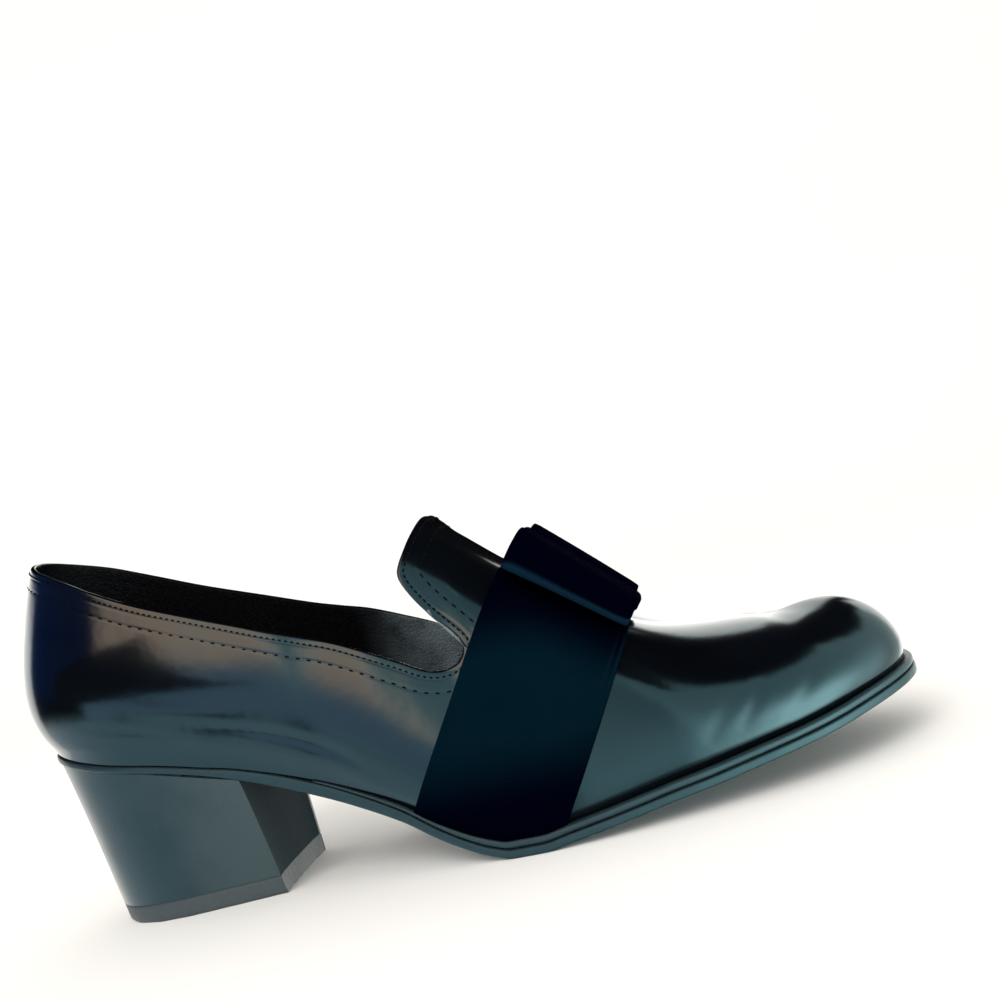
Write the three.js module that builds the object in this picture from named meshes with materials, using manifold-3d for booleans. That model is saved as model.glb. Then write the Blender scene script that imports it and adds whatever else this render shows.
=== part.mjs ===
// A right slip-on loafer with a block heel, a high tongue, an instep ribbon and a ribbon bow.
// Millimetres. +X to the toe, +Y to the medial side, +Z up, origin in the middle of the heel's bottom face.
import * as THREE from 'three';
import * as BufferGeometryUtils from 'three/addons/utils/BufferGeometryUtils.js';
import Module from 'manifold-3d';

const wasm = await Module();
wasm.setup();

// Driving sizes of the sole and heel
const soleLength = 250;
const ballWidth = 83;
const heelHeight = 52.3;
const toeSpring = 14.9;
const soleThickness = 3.8;
const weltThickness = 1.7;
const weltTuckWidth = 3.5;
const weltSetback = 0.3;
const weltMargin = 1.8;
const seatMargin = 0.7;
const heelBaseLength = 57;
const heelBaseWidth = 41;
const heelRake = 7.6;
const topPieceThickness = 5.5;
const heelCurve = 0.9;
const edgeBreak = 0.5;

// Driving sizes of the upper and what lies in it
const wall = 2;
const backHeight = 57.5;
const instepHeight = 68;
const insoleThickness = 3;
const insoleSetback = 0.3;
const clearance = 0.3;
const cutReach = 40;
const cutLean = 20;
const cutOverlap = 0.05;

// Driving sizes of the ribbon and its bow
const ribbonWidth = 39;
const ribbonThickness = 1;
const ribbonSlope = THREE.MathUtils.degToRad(33.4);
const bowSlope = THREE.MathUtils.degToRad(41);
const bowWidth = 37;
const bowSpan = 62;
const bowHeight = 12;
const bowTaper = 0.3;
const bowFrontLift = 2.5;
const knotWidth = 14;
const knotHeight = 10.9;
const knotLift = 0.95;
const knotRound = 2.4;
const foldThickness = 1.2;

// Where the upper's parts lie along the sole, as shares of its length from the back
const ballFlatStart = 0.531;
const ballFlatEnd = 0.566;
const breastShare = 0.246;
const weltStart = 0.33;
const bowShare = 0.645;

// Faceting: points round the shoe and levels up its side
const turnSteps = 112;
const sideLevels = 11;
const facetSag = 0.24;
const topAngle = 0.97 * Math.PI / 2;

const soleBack = -(heelBaseLength / 2 + heelRake);

// Underside of the outsole: shares of heelHeight behind the ball and of toeSpring in front of it
const bottomRows = [
  { at: 0.0, heel: 1.0, toe: 0 },
  { at: 0.075, heel: 0.905, toe: 0 },
  { at: 0.157, heel: 0.808, toe: 0 },
  { at: 0.207, heel: 0.738, toe: 0 },
  { at: 0.246, heel: 0.669, toe: 0 },
  { at: 0.319, heel: 0.518, toe: 0 },
  { at: 0.375, heel: 0.388, toe: 0 },
  { at: 0.42, heel: 0.275, toe: 0 },
  { at: 0.46, heel: 0.147, toe: 0 },
  { at: 0.5, heel: 0.048, toe: 0 },
  { at: 0.518, heel: 0.016, toe: 0 },
  { at: ballFlatStart, heel: 0, toe: 0 },
  { at: ballFlatEnd, heel: 0, toe: 0 },
  { at: 0.597, heel: 0, toe: 0.074 },
  { at: 0.637, heel: 0, toe: 0.168 },
  { at: 0.677, heel: 0, toe: 0.262 },
  { at: 0.713, heel: 0, toe: 0.349 },
  { at: 0.745, heel: 0, toe: 0.41 },
  { at: 0.812, heel: 0, toe: 0.557 },
  { at: 0.88, heel: 0, toe: 0.705 },
  { at: 0.937, heel: 0, toe: 0.859 },
  { at: 1.0, heel: 0, toe: 1 },
];

// Upright thickness of outsole and welt, as shares of soleThickness and weltThickness
const edgeRows = [
  { at: 0.0, sole: 0.52, welt: 0.0, margin: 0 },
  { at: 0.2, sole: 0.54, welt: 0.0, margin: 0 },
  { at: 0.25, sole: 0.8, welt: 0.0, margin: 0 },
  { at: 0.33, sole: 0.96, welt: 0.25, margin: 0.15 },
  { at: 0.42, sole: 0.85, welt: 0.6, margin: 0.5 },
  { at: 0.52, sole: 0.63, welt: 1.0, margin: 1 },
  { at: 1.0, sole: 0.62, welt: 1.0, margin: 1 },
];

// Half widths of the outsole before its ends are rounded, as shares of ballWidth
const widthRows = [
  { at: 0.0, lateral: 0.31, medial: 0.31 },
  { at: 0.146, lateral: 0.323, medial: 0.3 },
  { at: 0.253, lateral: 0.323, medial: 0.277 },
  { at: 0.344, lateral: 0.342, medial: 0.247 },
  { at: 0.423, lateral: 0.395, medial: 0.262 },
  { at: 0.503, lateral: 0.46, medial: 0.335 },
  { at: 0.582, lateral: 0.503, medial: 0.42 },
  { at: 0.642, lateral: 0.514, medial: 0.468 },
  { at: 0.721, lateral: 0.504, medial: 0.486 },
  { at: 0.8, lateral: 0.474, medial: 0.48 },
  { at: 0.88, lateral: 0.425, medial: 0.458 },
  { at: 1.0, lateral: 0.345, medial: 0.42 },
];
const heelRound = { length: 0.13, power: 2.2 };
const toeRound = { length: 0.17, power: 2.2 };

// Top line of the closed last above the feather line, as shares of instepHeight
const spineRows = [
  { at: 0.074, rise: 1.08 },
  { at: 0.25, rise: 1.3 },
  { at: 0.38, rise: 1.37 },
  { at: 0.457, rise: 1.375 },
  { at: 0.513, rise: 1.266 },
  { at: 0.527, rise: 1.215 },
  { at: 0.579, rise: 1.016 },
  { at: 0.648, rise: 0.754 },
  { at: 0.716, rise: 0.541 },
  { at: 0.748, rise: 0.487 },
  { at: 0.782, rise: 0.446 },
  { at: 0.826, rise: 0.402 },
  { at: 0.847, rise: 0.377 },
  { at: 0.87, rise: 0.363 },
  { at: 0.894, rise: 0.36 },
  { at: 0.9085, rise: 0.353 },
];
const spineStart = spineRows[0].at;
const spineEnd = spineRows[spineRows.length - 1].at;

// How full each rib is, and its swell low down and hollow half way, as shares of ballWidth
const ribRows = [
  { at: 0.0, power: 2.5, swellLateral: 0.062, swellMedial: 0.062, hollow: 0.0 },
  { at: 0.15, power: 3.4, swellLateral: 0.045, swellMedial: 0.045, hollow: 0.0 },
  { at: 0.3, power: 3.2, swellLateral: 0.04, swellMedial: 0.075, hollow: 0.0 },
  { at: 0.42, power: 2.8, swellLateral: 0.03, swellMedial: 0.09, hollow: 0.03 },
  { at: 0.52, power: 2.6, swellLateral: 0.015, swellMedial: 0.05, hollow: 0.06 },
  { at: 0.62, power: 2.3, swellLateral: 0.01, swellMedial: 0.02, hollow: 0.03 },
  { at: 0.75, power: 2.2, swellLateral: 0.01, swellMedial: 0.01, hollow: 0.0 },
  { at: 1.0, power: 2.2, swellLateral: 0.005, swellMedial: 0.005, hollow: 0.0 },
];

// Collar from the back to the notch beside the tongue, above the feather line, as shares of backHeight
const collarRows = [
  { at: 0.0, lateral: 1.03, medial: 1.03 },
  { at: 0.029, lateral: 1.0, medial: 1.002 },
  { at: 0.073, lateral: 0.96, medial: 0.965 },
  { at: 0.105, lateral: 0.922, medial: 0.925 },
  { at: 0.132, lateral: 0.878, medial: 0.893 },
  { at: 0.183, lateral: 0.812, medial: 0.843 },
  { at: 0.252, lateral: 0.758, medial: 0.8 },
  { at: 0.316, lateral: 0.734, medial: 0.788 },
  { at: 0.358, lateral: 0.735, medial: 0.803 },
  { at: 0.398, lateral: 0.742, medial: 0.825 },
  { at: 0.458, lateral: 0.755, medial: 0.855 },
  { at: 0.485, lateral: 0.748, medial: 0.843 },
  { at: 0.505, lateral: 0.763, medial: 0.843 },
  { at: 0.5215, lateral: 0.802, medial: 0.858 },
  { at: 0.531, lateral: 0.856, medial: 0.885 },
];

// Side edge of the tongue from the notch to its top, above the feather line, as shares of backHeight
const tongueRows = [
  { at: 0.5322, rise: 0.907 },
  { at: 0.5272, rise: 0.949 },
  { at: 0.5185, rise: 0.984 },
  { at: 0.504, rise: 1.032 },
  { at: 0.4915, rise: 1.09 },
  { at: 0.4825, rise: 1.152 },
  { at: 0.4805, rise: 1.2 },
  { at: 0.485, rise: 1.26 },
  { at: 0.4945, rise: 1.345 },
  { at: 0.5035, rise: 1.425 },
  { at: 0.511, rise: 1.497 },
];

// One loop of the bow: out along the band, round its fold and back, as shares of half span and height
const loopRows = [
  { out: 0.05, up: 0.225 },
  { out: 0.28, up: 0.22 },
  { out: 0.5, up: 0.06 },
  { out: 0.74, up: -0.03 },
  { out: 0.92, up: 0.03 },
  { out: 1.0, up: 0.3 },
  { out: 0.99, up: 0.62 },
  { out: 0.88, up: 0.9 },
  { out: 0.68, up: 1.0 },
  { out: 0.45, up: 0.95 },
  { out: 0.24, up: 0.74 },
  { out: 0.05, up: 0.68 },
];

// Smooth curve through one column of a table, without overshoot between its rows
function smoothColumn(rows, column) {
  const slopes = rows.map((row, i) => {
    if (i === 0 || i === rows.length - 1) return 0;
    const before = (row[column] - rows[i - 1][column]) / (row.at - rows[i - 1].at);
    const after = (rows[i + 1][column] - row[column]) / (rows[i + 1].at - row.at);
    return before * after <= 0 ? 0 : 2 * before * after / (before + after);
  });
  const last = rows.length - 1;
  slopes[0] = (rows[1][column] - rows[0][column]) / (rows[1].at - rows[0].at);
  slopes[last] = (rows[last][column] - rows[last - 1][column]) / (rows[last].at - rows[last - 1].at);
  return (at) => {
    const place = THREE.MathUtils.clamp(at, rows[0].at, rows[last].at);
    let i = 0;
    while (i < last - 1 && place > rows[i + 1].at) i += 1;
    const step = rows[i + 1].at - rows[i].at;
    const t = (place - rows[i].at) / step;
    const rest = 1 - t;
    return rows[i][column] * rest * rest * (1 + 2 * t) + rows[i + 1][column] * t * t * (3 - 2 * t)
      + step * (slopes[i] * t * rest * rest - slopes[i + 1] * t * t * rest);
  };
}

const heelShare = smoothColumn(bottomRows, 'heel');
const toeShare = smoothColumn(bottomRows, 'toe');
const solePart = smoothColumn(edgeRows, 'sole');
const weltPart = smoothColumn(edgeRows, 'welt');
const marginPart = smoothColumn(edgeRows, 'margin');
const lateralWidth = smoothColumn(widthRows, 'lateral');
const medialWidth = smoothColumn(widthRows, 'medial');
const spineRise = smoothColumn(spineRows, 'rise');
const ribPower = smoothColumn(ribRows, 'power');
const swellLateral = smoothColumn(ribRows, 'swellLateral');
const swellMedial = smoothColumn(ribRows, 'swellMedial');
const hollowPart = smoothColumn(ribRows, 'hollow');

const placeX = (at) => soleBack + at * soleLength;
const shareOf = (x) => (x - soleBack) / soleLength;
const undersideZ = (at) => heelHeight * heelShare(at) + toeSpring * toeShare(at);
const outsoleTopZ = (at) => undersideZ(at) + soleThickness * solePart(at);
const featherZ = (at) => outsoleTopZ(at) + clearance + (weltThickness + clearance) * weltPart(at);
const weltTuck = (at) => weltTuckWidth * marginPart(at);
const marginAt = (at) => seatMargin + (weltMargin - seatMargin) * marginPart(at);

// Rounding of an end: 1 along the body, 0 at the tip
function endFactor(fromTip, round) {
  if (fromTip >= round.length) return 1;
  const reach = 1 - Math.max(fromTip, 0) / round.length;
  return (1 - reach ** round.power) ** (1 / round.power);
}

// Outline of the outsole: turn 0 at the back, a half turn at the toe, the lateral side first
function outlinePoint(turn) {
  const at = (1 - Math.cos(turn)) / 2;
  const ends = endFactor(at, heelRound) * endFactor(1 - at, toeRound);
  const lateral = Math.sin(turn) >= 0;
  const half = ballWidth * (lateral ? lateralWidth(at) : medialWidth(at)) * ends;
  return new THREE.Vector2(placeX(at), lateral ? -half : half);
}

// Outward direction of the outline in plan
function outlineNormal(turn) {
  const step = 0.02;
  const along = outlinePoint(turn + step).sub(outlinePoint(turn - step)).normalize();
  return new THREE.Vector2(along.y, -along.x);
}

// A point of the outline moved inwards
function insetPoint(turn, inset) {
  return outlinePoint(turn).addScaledVector(outlineNormal(turn), -inset);
}

const turns = Array.from({ length: turnSteps }, (_, i) => 2 * Math.PI * (i + 0.5) / turnSteps);

// A point of the upper's outer face: up is 0 at the feather line and a quarter turn at the spine
function lastPoint(turn, up) {
  const at = (1 - Math.cos(turn)) / 2;
  const foot = insetPoint(turn, marginAt(at));
  const outward = outlineNormal(turn);
  const spineAt = THREE.MathUtils.lerp(spineStart, spineEnd, at);
  const footZ = featherZ(at);
  const spineZ = featherZ(spineAt) + instepHeight * spineRise(spineAt);
  const power = 2 / ribPower(at);
  const across = Math.cos(up) ** power;
  const height = Math.sin(up) ** power;
  const medialShare = (1 - Math.sin(turn)) / 2;
  const swell = THREE.MathUtils.lerp(swellLateral(at), swellMedial(at), medialShare);
  const swellShape = height * (1 - height) ** 3 / (0.25 * 0.75 ** 3);
  const hollowShape = 16 * height ** 2 * (1 - height) ** 2;
  const push = ballWidth * (swell * swellShape - hollowPart(at) * hollowShape);
  const spineX = placeX(spineAt);
  return new THREE.Vector3(
    spineX + (foot.x - spineX) * across + outward.x * push,
    foot.y * across + outward.y * push,
    footZ + (spineZ - footZ) * height,
  );
}

// Outward direction of the upper's outer face, level at the feather line
function lastNormal(turn, up) {
  const step = 0.01;
  const low = Math.max(up, step);
  const round = lastPoint(turn + step, low).sub(lastPoint(turn - step, low));
  const rise = lastPoint(turn, low + step).sub(lastPoint(turn, low - step));
  const outward = round.cross(rise).normalize();
  if (up < step) outward.z = 0;
  return outward.normalize();
}

const offsetPoint = (turn, up, offset) => lastPoint(turn, up).addScaledVector(lastNormal(turn, up), offset);

// Triangles of a closed solid from loops of equal count, listed upwards; both ends are ruled across
function solidFromLoops(loops) {
  const count = loops[0].length;
  const positions = loops.flat().flatMap((point) => point.toArray());
  const faces = [];
  for (let level = 0; level < loops.length - 1; level += 1) {
    for (let i = 0; i < count; i += 1) {
      const a = level * count + i;
      const b = level * count + (i + 1) % count;
      faces.push(a, b, b + count, a, b + count, a + count);
    }
  }
  const top = (loops.length - 1) * count;
  for (let i = 0; i < count / 2 - 1; i += 1) {
    const near = [i, i + 1];
    const far = [count - 1 - i, count - 2 - i];
    faces.push(top + near[0], top + near[1], top + far[1], top + near[0], top + far[1], top + far[0]);
    faces.push(near[1], near[0], far[1], far[1], near[0], far[0]);
  }
  const geometry = new THREE.BufferGeometry();
  geometry.setAttribute('position', new THREE.Float32BufferAttribute(positions, 3));
  geometry.setIndex(faces);
  return geometry;
}

function toManifold(geometry) {
  const bare = geometry.clone();
  for (const name of Object.keys(bare.attributes)) {
    if (name !== 'position') bare.deleteAttribute(name);
  }
  const merged = BufferGeometryUtils.mergeVertices(bare, 1e-4);
  return new wasm.Manifold(new wasm.Mesh({
    numProp: 3,
    vertProperties: new Float32Array(merged.attributes.position.array),
    triVerts: new Uint32Array(merged.index.array),
  }));
}

function fromManifold(solid) {
  const mesh = solid.getMesh();
  const geometry = new THREE.BufferGeometry();
  geometry.setAttribute('position', new THREE.Float32BufferAttribute(mesh.vertProperties, 3));
  geometry.setIndex(Array.from(mesh.triVerts));
  return geometry;
}

const materials = {
  leather: { color: 0x14171c, roughness: 0.12, metalness: 0 },
  heelLeather: { color: 0x15171b, roughness: 0.35, metalness: 0 },
  edge: { color: 0x101114, roughness: 0.45, metalness: 0 },
  rubber: { color: 0x1a1b1d, roughness: 0.8, metalness: 0 },
  ribbon: { color: 0x10121a, roughness: 0.7, metalness: 0 },
  footbed: { color: 0x191919, roughness: 0.6, metalness: 0 },
};

const shoe = new THREE.Group();

function addPiece(name, geometry, finish) {
  const flat = geometry.index ? geometry.toNonIndexed() : geometry;
  flat.computeVertexNormals();
  const mesh = new THREE.Mesh(flat, new THREE.MeshStandardMaterial(materials[finish]));
  mesh.name = name;
  shoe.add(mesh);
  return mesh;
}

// A closed plate that follows the outline, between two heights that depend on the place along the sole
function plateLoops(inset, rings) {
  return rings.map((ring) => turns.map((turn) => {
    const spot = insetPoint(turn, inset(turn) + ring.inset);
    return new THREE.Vector3(spot.x, spot.y, ring.height(shareOf(spot.x)));
  }));
}

// Outsole: full length, with its edge broken above and below
addPiece('outsole', solidFromLoops(plateLoops(() => 0, [
  { inset: edgeBreak, height: undersideZ },
  { inset: 0, height: (at) => undersideZ(at) + edgeBreak },
  { inset: 0, height: (at) => outsoleTopZ(at) - edgeBreak },
  { inset: edgeBreak, height: outsoleTopZ },
])), 'edge');

// Welt: a strip on the outsole round the forepart, ending at the waist on both sides
function weltGeometry() {
  const sections = turns.filter((turn) => (1 - Math.cos(turn)) / 2 > weltStart).map((turn) => {
    const at = (1 - Math.cos(turn)) / 2;
    const outer = insetPoint(turn, weltSetback);
    const inner = insetPoint(turn, marginAt(at) + wall + weltTuck(at));
    const low = (spot) => outsoleTopZ(shareOf(spot.x)) + clearance + facetSag;
    const high = (spot) => featherZ(shareOf(spot.x)) - clearance;
    return [
      new THREE.Vector3(outer.x, outer.y, low(outer)),
      new THREE.Vector3(outer.x, outer.y, high(outer)),
      new THREE.Vector3(inner.x, inner.y, high(inner)),
      new THREE.Vector3(inner.x, inner.y, low(inner)),
    ];
  });
  return sweepSections(sections);
}

// Closed solid from four-cornered sections in a row, with flat ends
function sweepSections(sections) {
  const corners = sections[0].length;
  const positions = sections.flat().flatMap((point) => point.toArray());
  const faces = [];
  for (let i = 0; i < sections.length - 1; i += 1) {
    for (let j = 0; j < corners; j += 1) {
      const a = i * corners + j;
      const b = i * corners + (j + 1) % corners;
      faces.push(a, b + corners, b, a, a + corners, b + corners);
    }
  }
  const last = (sections.length - 1) * corners;
  for (let j = 1; j < corners - 1; j += 1) {
    faces.push(0, j, j + 1);
    faces.push(last, last + j + 1, last + j);
  }
  const geometry = new THREE.BufferGeometry();
  geometry.setAttribute('position', new THREE.Float32BufferAttribute(positions, 3));
  geometry.setIndex(faces);
  return geometry;
}
addPiece('welt', weltGeometry(), 'edge');

// A point on the heel's side: its turn round the heel seat, and its height above the floor
const seatTurn = Math.acos(1 - 2 * breastShare);
const seatHalf = ballWidth * lateralWidth(breastShare) - seatMargin;

function heelPoint(turn, heightOf, inset = 0) {
  const seat = insetPoint(turn, seatMargin + inset);
  const seatZ = undersideZ(shareOf(seat.x)) - clearance;
  const along = (seat.x - soleBack) / (breastShare * soleLength);
  const base = new THREE.Vector2(
    THREE.MathUtils.lerp(-heelBaseLength / 2, heelBaseLength / 2, along),
    seat.y * heelBaseWidth / 2 / seatHalf,
  );
  const height = heightOf(seatZ);
  const taper = (1 - height / seatZ) ** heelCurve;
  const spot = seat.lerp(base, taper);
  return new THREE.Vector3(spot.x, spot.y, height);
}

function heelLoop(heightOf, inset) {
  const steps = 27;
  return Array.from({ length: steps + 1 }, (_, i) => (
    heelPoint(THREE.MathUtils.lerp(-seatTurn, seatTurn, i / steps), heightOf, inset)
  ));
}

const blockFoot = topPieceThickness + clearance / 2;
addPiece('heel_block', solidFromLoops([0, 0.3, 0.6, 0.8, 1].map((share) => (
  heelLoop((seatZ) => THREE.MathUtils.lerp(blockFoot, seatZ, share))
))), 'heelLeather');

const pieceTop = topPieceThickness - clearance / 2;
addPiece('heel_top_piece', solidFromLoops([
  heelLoop(() => 0, edgeBreak),
  heelLoop(() => edgeBreak),
  heelLoop(() => pieceTop),
]), 'rubber');

// Insole: fills the inside of the upper's foot and rests on the outsole
addPiece('insole', solidFromLoops([
  { inset: edgeBreak, height: (at) => outsoleTopZ(at) + clearance + facetSag },
  { inset: 0, height: (at) => outsoleTopZ(at) + clearance + facetSag + edgeBreak },
  { inset: 0, height: (at) => featherZ(at) + insoleThickness - weltThickness * weltPart(at) },
].map((ring) => turns.map((turn) => {
  const at = (1 - Math.cos(turn)) / 2;
  const reach = wall + weltTuck(at) + clearance + insoleSetback;
  const spot = insetPoint(turn, marginAt(at) + reach + ring.inset);
  return new THREE.Vector3(spot.x, spot.y, ring.height(shareOf(spot.x)));
}))), 'footbed');

// Levels up the side of the last, closer together near the feather line
const levels = Array.from({ length: sideLevels + 1 }, (_, i) => topAngle * (i / sideLevels) ** 1.15);

// Solid of the last, grown by an offset, with its foot carried down past the feather line
function lastSolid(offset, footDrop) {
  const loops = levels.map((up) => turns.map((turn) => offsetPoint(turn, up, offset)));
  if (footDrop > 0) {
    loops.unshift(loops[0].map((point) => point.clone().setZ(point.z - footDrop)));
  }
  return toManifold(solidFromLoops(loops));
}

// Side view of what lies above the collar and behind the tongue, as one closed outline for each side
function collarOutline(side) {
  const edge = collarRows.map((row) => [row.at, row[side]]);
  tongueRows.forEach((row) => edge.push([row.at, row.rise]));
  const spots = edge.map(([at, rise]) => new THREE.Vector2(placeX(at), featherZ(at) + backHeight * rise));
  const smooth = new THREE.SplineCurve(spots).getPoints(spots.length * 2);
  const roof = heelHeight + backHeight * 3;
  const tongueTop = smooth[smooth.length - 1];
  const behind = soleBack - cutReach;
  return new THREE.Shape([
    new THREE.Vector2(behind, smooth[0].y),
    ...smooth,
    new THREE.Vector2(tongueTop.x + cutLean, roof),
    new THREE.Vector2(behind, roof),
  ]);
}

// Extrudes a side view across one half of the shoe; the halves overlap a little at the middle
function sideCutter(shape, from, to) {
  const geometry = new THREE.ExtrudeGeometry(shape, { depth: to - from, bevelEnabled: false, steps: 1 });
  geometry.rotateX(Math.PI / 2);
  geometry.translate(0, to, 0);
  return toManifold(geometry);
}

const farSide = ballWidth;
const upperShell = lastSolid(0, 0).subtract(lastSolid(-wall, wall + soleThickness));
const upperSolid = upperShell
  .subtract(sideCutter(collarOutline('lateral'), -farSide, cutOverlap))
  .subtract(sideCutter(collarOutline('medial'), 0, farSide));
addPiece('upper', fromManifold(upperSolid), 'leather');

// Instep ribbon: the strip of a skin over the upper that lies between two planes across the instep
const across = new THREE.Vector3(0, 1, 0);
const ribbonAlong = new THREE.Vector3(Math.cos(ribbonSlope), 0, -Math.sin(ribbonSlope));
const bowSeatZ = featherZ(bowShare) + instepHeight * spineRise(bowShare);
const bowSeat = new THREE.Vector3(placeX(bowShare), 0, bowSeatZ);

// Turns a local frame to +X along, +Y across and +Z out of the instep, at a height above a spot
function setOnInstep(geometry, along, spot, lift) {
  const out = along.clone().cross(across);
  const frame = new THREE.Matrix4().makeBasis(along, across, out);
  frame.setPosition(spot.clone().addScaledVector(out, lift));
  return geometry.applyMatrix4(frame);
}

function bandGeometry() {
  const skin = lastSolid(clearance + ribbonThickness, 0).subtract(lastSolid(clearance, soleThickness));
  const reach = instepHeight * 3;
  const slab = new THREE.BoxGeometry(ribbonWidth, ballWidth * 2, reach);
  return fromManifold(skin.intersect(toManifold(setOnInstep(slab, ribbonAlong, bowSeat, 0))));
}
addPiece('instep_band', bandGeometry(), 'ribbon');

// Bow: two loops of ribbon out to the sides, and a wrap along the foot that gathers their inner ends
const bowAlong = new THREE.Vector3(Math.cos(bowSlope), 0, -Math.sin(bowSlope));
const bowLift = 2 * clearance + ribbonThickness;

// Closed curve through a loop's rows, as a hollow outline of the ribbon's thickness
function loopShape() {
  const half = bowSpan / 2;
  const rows = loopRows.map((row) => new THREE.Vector3(half * row.out, bowHeight * row.up, 0));
  const curve = new THREE.CatmullRomCurve3(rows, true, 'centripetal');
  const steps = rows.length * 2;
  const outer = [];
  const inner = [];
  for (let i = 0; i < steps; i += 1) {
    const spot = curve.getPoint(i / steps);
    const along = curve.getTangent(i / steps);
    outer.push(new THREE.Vector2(spot.x, spot.y));
    inner.push(new THREE.Vector2(spot.x - along.y * foldThickness, spot.y + along.x * foldThickness));
  }
  const shape = new THREE.Shape(outer);
  shape.holes.push(new THREE.Path(inner));
  return shape;
}

// Sets a shape drawn in the bow's frame on the band: +X across, +Y out and +Z along the foot, lower in front
function setBow(geometry) {
  const spots = geometry.attributes.position;
  for (let i = 0; i < spots.count; i += 1) {
    const forward = 0.5 + spots.getZ(i) / bowWidth;
    const up = spots.getY(i);
    const middle = 1 - (2 * spots.getX(i) / bowSpan) ** 2;
    const lift = bowFrontLift * forward * middle * (1 - up / knotHeight);
    spots.setY(i, up * (1 - bowTaper * forward) + lift);
  }
  const out = bowAlong.clone().cross(across);
  const frame = new THREE.Matrix4().makeBasis(across, out, bowAlong);
  frame.setPosition(bowSeat.clone().addScaledVector(out, bowLift));
  return geometry.applyMatrix4(frame);
}

// A loop's outline drawn out along the foot to the ribbon's width
function loopGeometry(side) {
  const geometry = new THREE.ExtrudeGeometry(loopShape(), { depth: bowWidth, bevelEnabled: false });
  geometry.translate(0, 0, -bowWidth / 2);
  setBow(geometry);
  return side > 0 ? geometry : mirrored(geometry);
}

// Rounded rectangle in the plane along the foot
function roundedOutline(half, low, high, round, Kind) {
  const outline = new Kind();
  outline.absarc(half - round, high - round, round, 0, Math.PI / 2);
  outline.absarc(-half + round, high - round, round, Math.PI / 2, Math.PI);
  outline.absarc(-half + round, low + round, round, Math.PI, 1.5 * Math.PI);
  outline.absarc(half - round, low + round, round, 1.5 * Math.PI, 2 * Math.PI);
  return outline;
}

// Knot: a closed band of ribbon round the inner ends of both loops
function knotGeometry() {
  const half = bowWidth / 2 + clearance + foldThickness;
  const shape = roundedOutline(half, knotLift, knotHeight, knotRound / 2, THREE.Shape);
  shape.holes.push(roundedOutline(
    half - foldThickness,
    knotLift + foldThickness,
    knotHeight - foldThickness,
    knotRound / 4,
    THREE.Path,
  ));
  const geometry = new THREE.ExtrudeGeometry(shape, { depth: knotWidth, bevelEnabled: false, curveSegments: 3 });
  geometry.translate(0, 0, -knotWidth / 2);
  geometry.rotateY(-Math.PI / 2);
  return setBow(geometry);
}

// The same geometry on the lateral side, with its faces turned back outwards
function mirrored(geometry) {
  const flat = geometry.index ? geometry.toNonIndexed() : geometry.clone();
  flat.scale(1, -1, 1);
  const spots = flat.attributes.position.array;
  for (let i = 0; i < spots.length; i += 9) {
    for (let j = 0; j < 3; j += 1) {
      [spots[i + j], spots[i + 6 + j]] = [spots[i + 6 + j], spots[i + j]];
    }
  }
  return flat;
}
addPiece('bow_loop_lateral', loopGeometry(-1), 'ribbon');
addPiece('bow_loop_medial', loopGeometry(1), 'ribbon');
addPiece('bow_knot', knotGeometry(), 'ribbon');

shoe.updateMatrixWorld(true);

export default shoe;
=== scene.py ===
# A right slip-on loafer in polished black leather: block heel, high tongue, instep ribbon and ribbon bow
import math

import bmesh
import bpy
import numpy as np
from mathutils import Matrix, Vector, kdtree


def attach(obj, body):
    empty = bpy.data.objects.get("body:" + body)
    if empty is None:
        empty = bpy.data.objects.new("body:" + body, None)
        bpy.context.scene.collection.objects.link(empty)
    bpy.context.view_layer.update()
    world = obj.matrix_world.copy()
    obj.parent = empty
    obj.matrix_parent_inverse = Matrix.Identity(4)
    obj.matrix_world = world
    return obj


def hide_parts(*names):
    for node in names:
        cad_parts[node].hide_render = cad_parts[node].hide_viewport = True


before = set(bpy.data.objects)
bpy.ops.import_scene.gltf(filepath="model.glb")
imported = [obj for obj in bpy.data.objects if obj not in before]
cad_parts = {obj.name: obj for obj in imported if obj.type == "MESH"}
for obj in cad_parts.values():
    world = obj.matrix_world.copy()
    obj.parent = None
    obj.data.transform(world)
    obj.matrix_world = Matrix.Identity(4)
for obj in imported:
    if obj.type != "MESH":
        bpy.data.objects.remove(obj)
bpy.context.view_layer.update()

mm = 0.001
print("scene: frame loaded")

# Camera, at the photo's angle to the shoe
cameraPlace = {
    "spot": (152.43, -320.04, 82.13),
    "right": (0.95542, 0.12282, -0.26848),
    "up": (0.2698, 0.00611, 0.9629),
    "forward": (-0.1199, 0.99241, 0.0273),
    "lens": 39.6,
}


def makeCamera():
    data = bpy.data.cameras.new("photoCamera")
    data.lens = cameraPlace["lens"]
    data.sensor_width = 36
    data.sensor_fit = "HORIZONTAL"
    data.clip_start = 0.01
    camera = bpy.data.objects.new("photoCamera", data)
    right = Vector(cameraPlace["right"]).normalized()
    back = -Vector(cameraPlace["forward"]).normalized()
    up = back.cross(right).normalized()
    turn = Matrix((right, up, back)).transposed().to_4x4()
    camera.matrix_world = Matrix.Translation(Vector(cameraPlace["spot"]) * mm) @ turn
    bpy.context.scene.collection.objects.link(camera)
    bpy.context.scene.camera = camera


makeCamera()

# Sizes of the last and the sole, in millimetres, as the solids have them
last = {
    "soleLength": 250.0,
    "ballWidth": 83.0,
    "heelHeight": 52.3,
    "toeSpring": 14.9,
    "soleThickness": 3.8,
    "weltThickness": 1.7,
    "clearance": 0.3,
    "weltMargin": 1.8,
    "seatMargin": 0.7,
    "soleBack": -36.1,
    "instepHeight": 68.0,
    "backHeight": 57.5,
    "heelRound": (0.13, 2.2),
    "toeRound": (0.17, 2.2),
}

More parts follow.
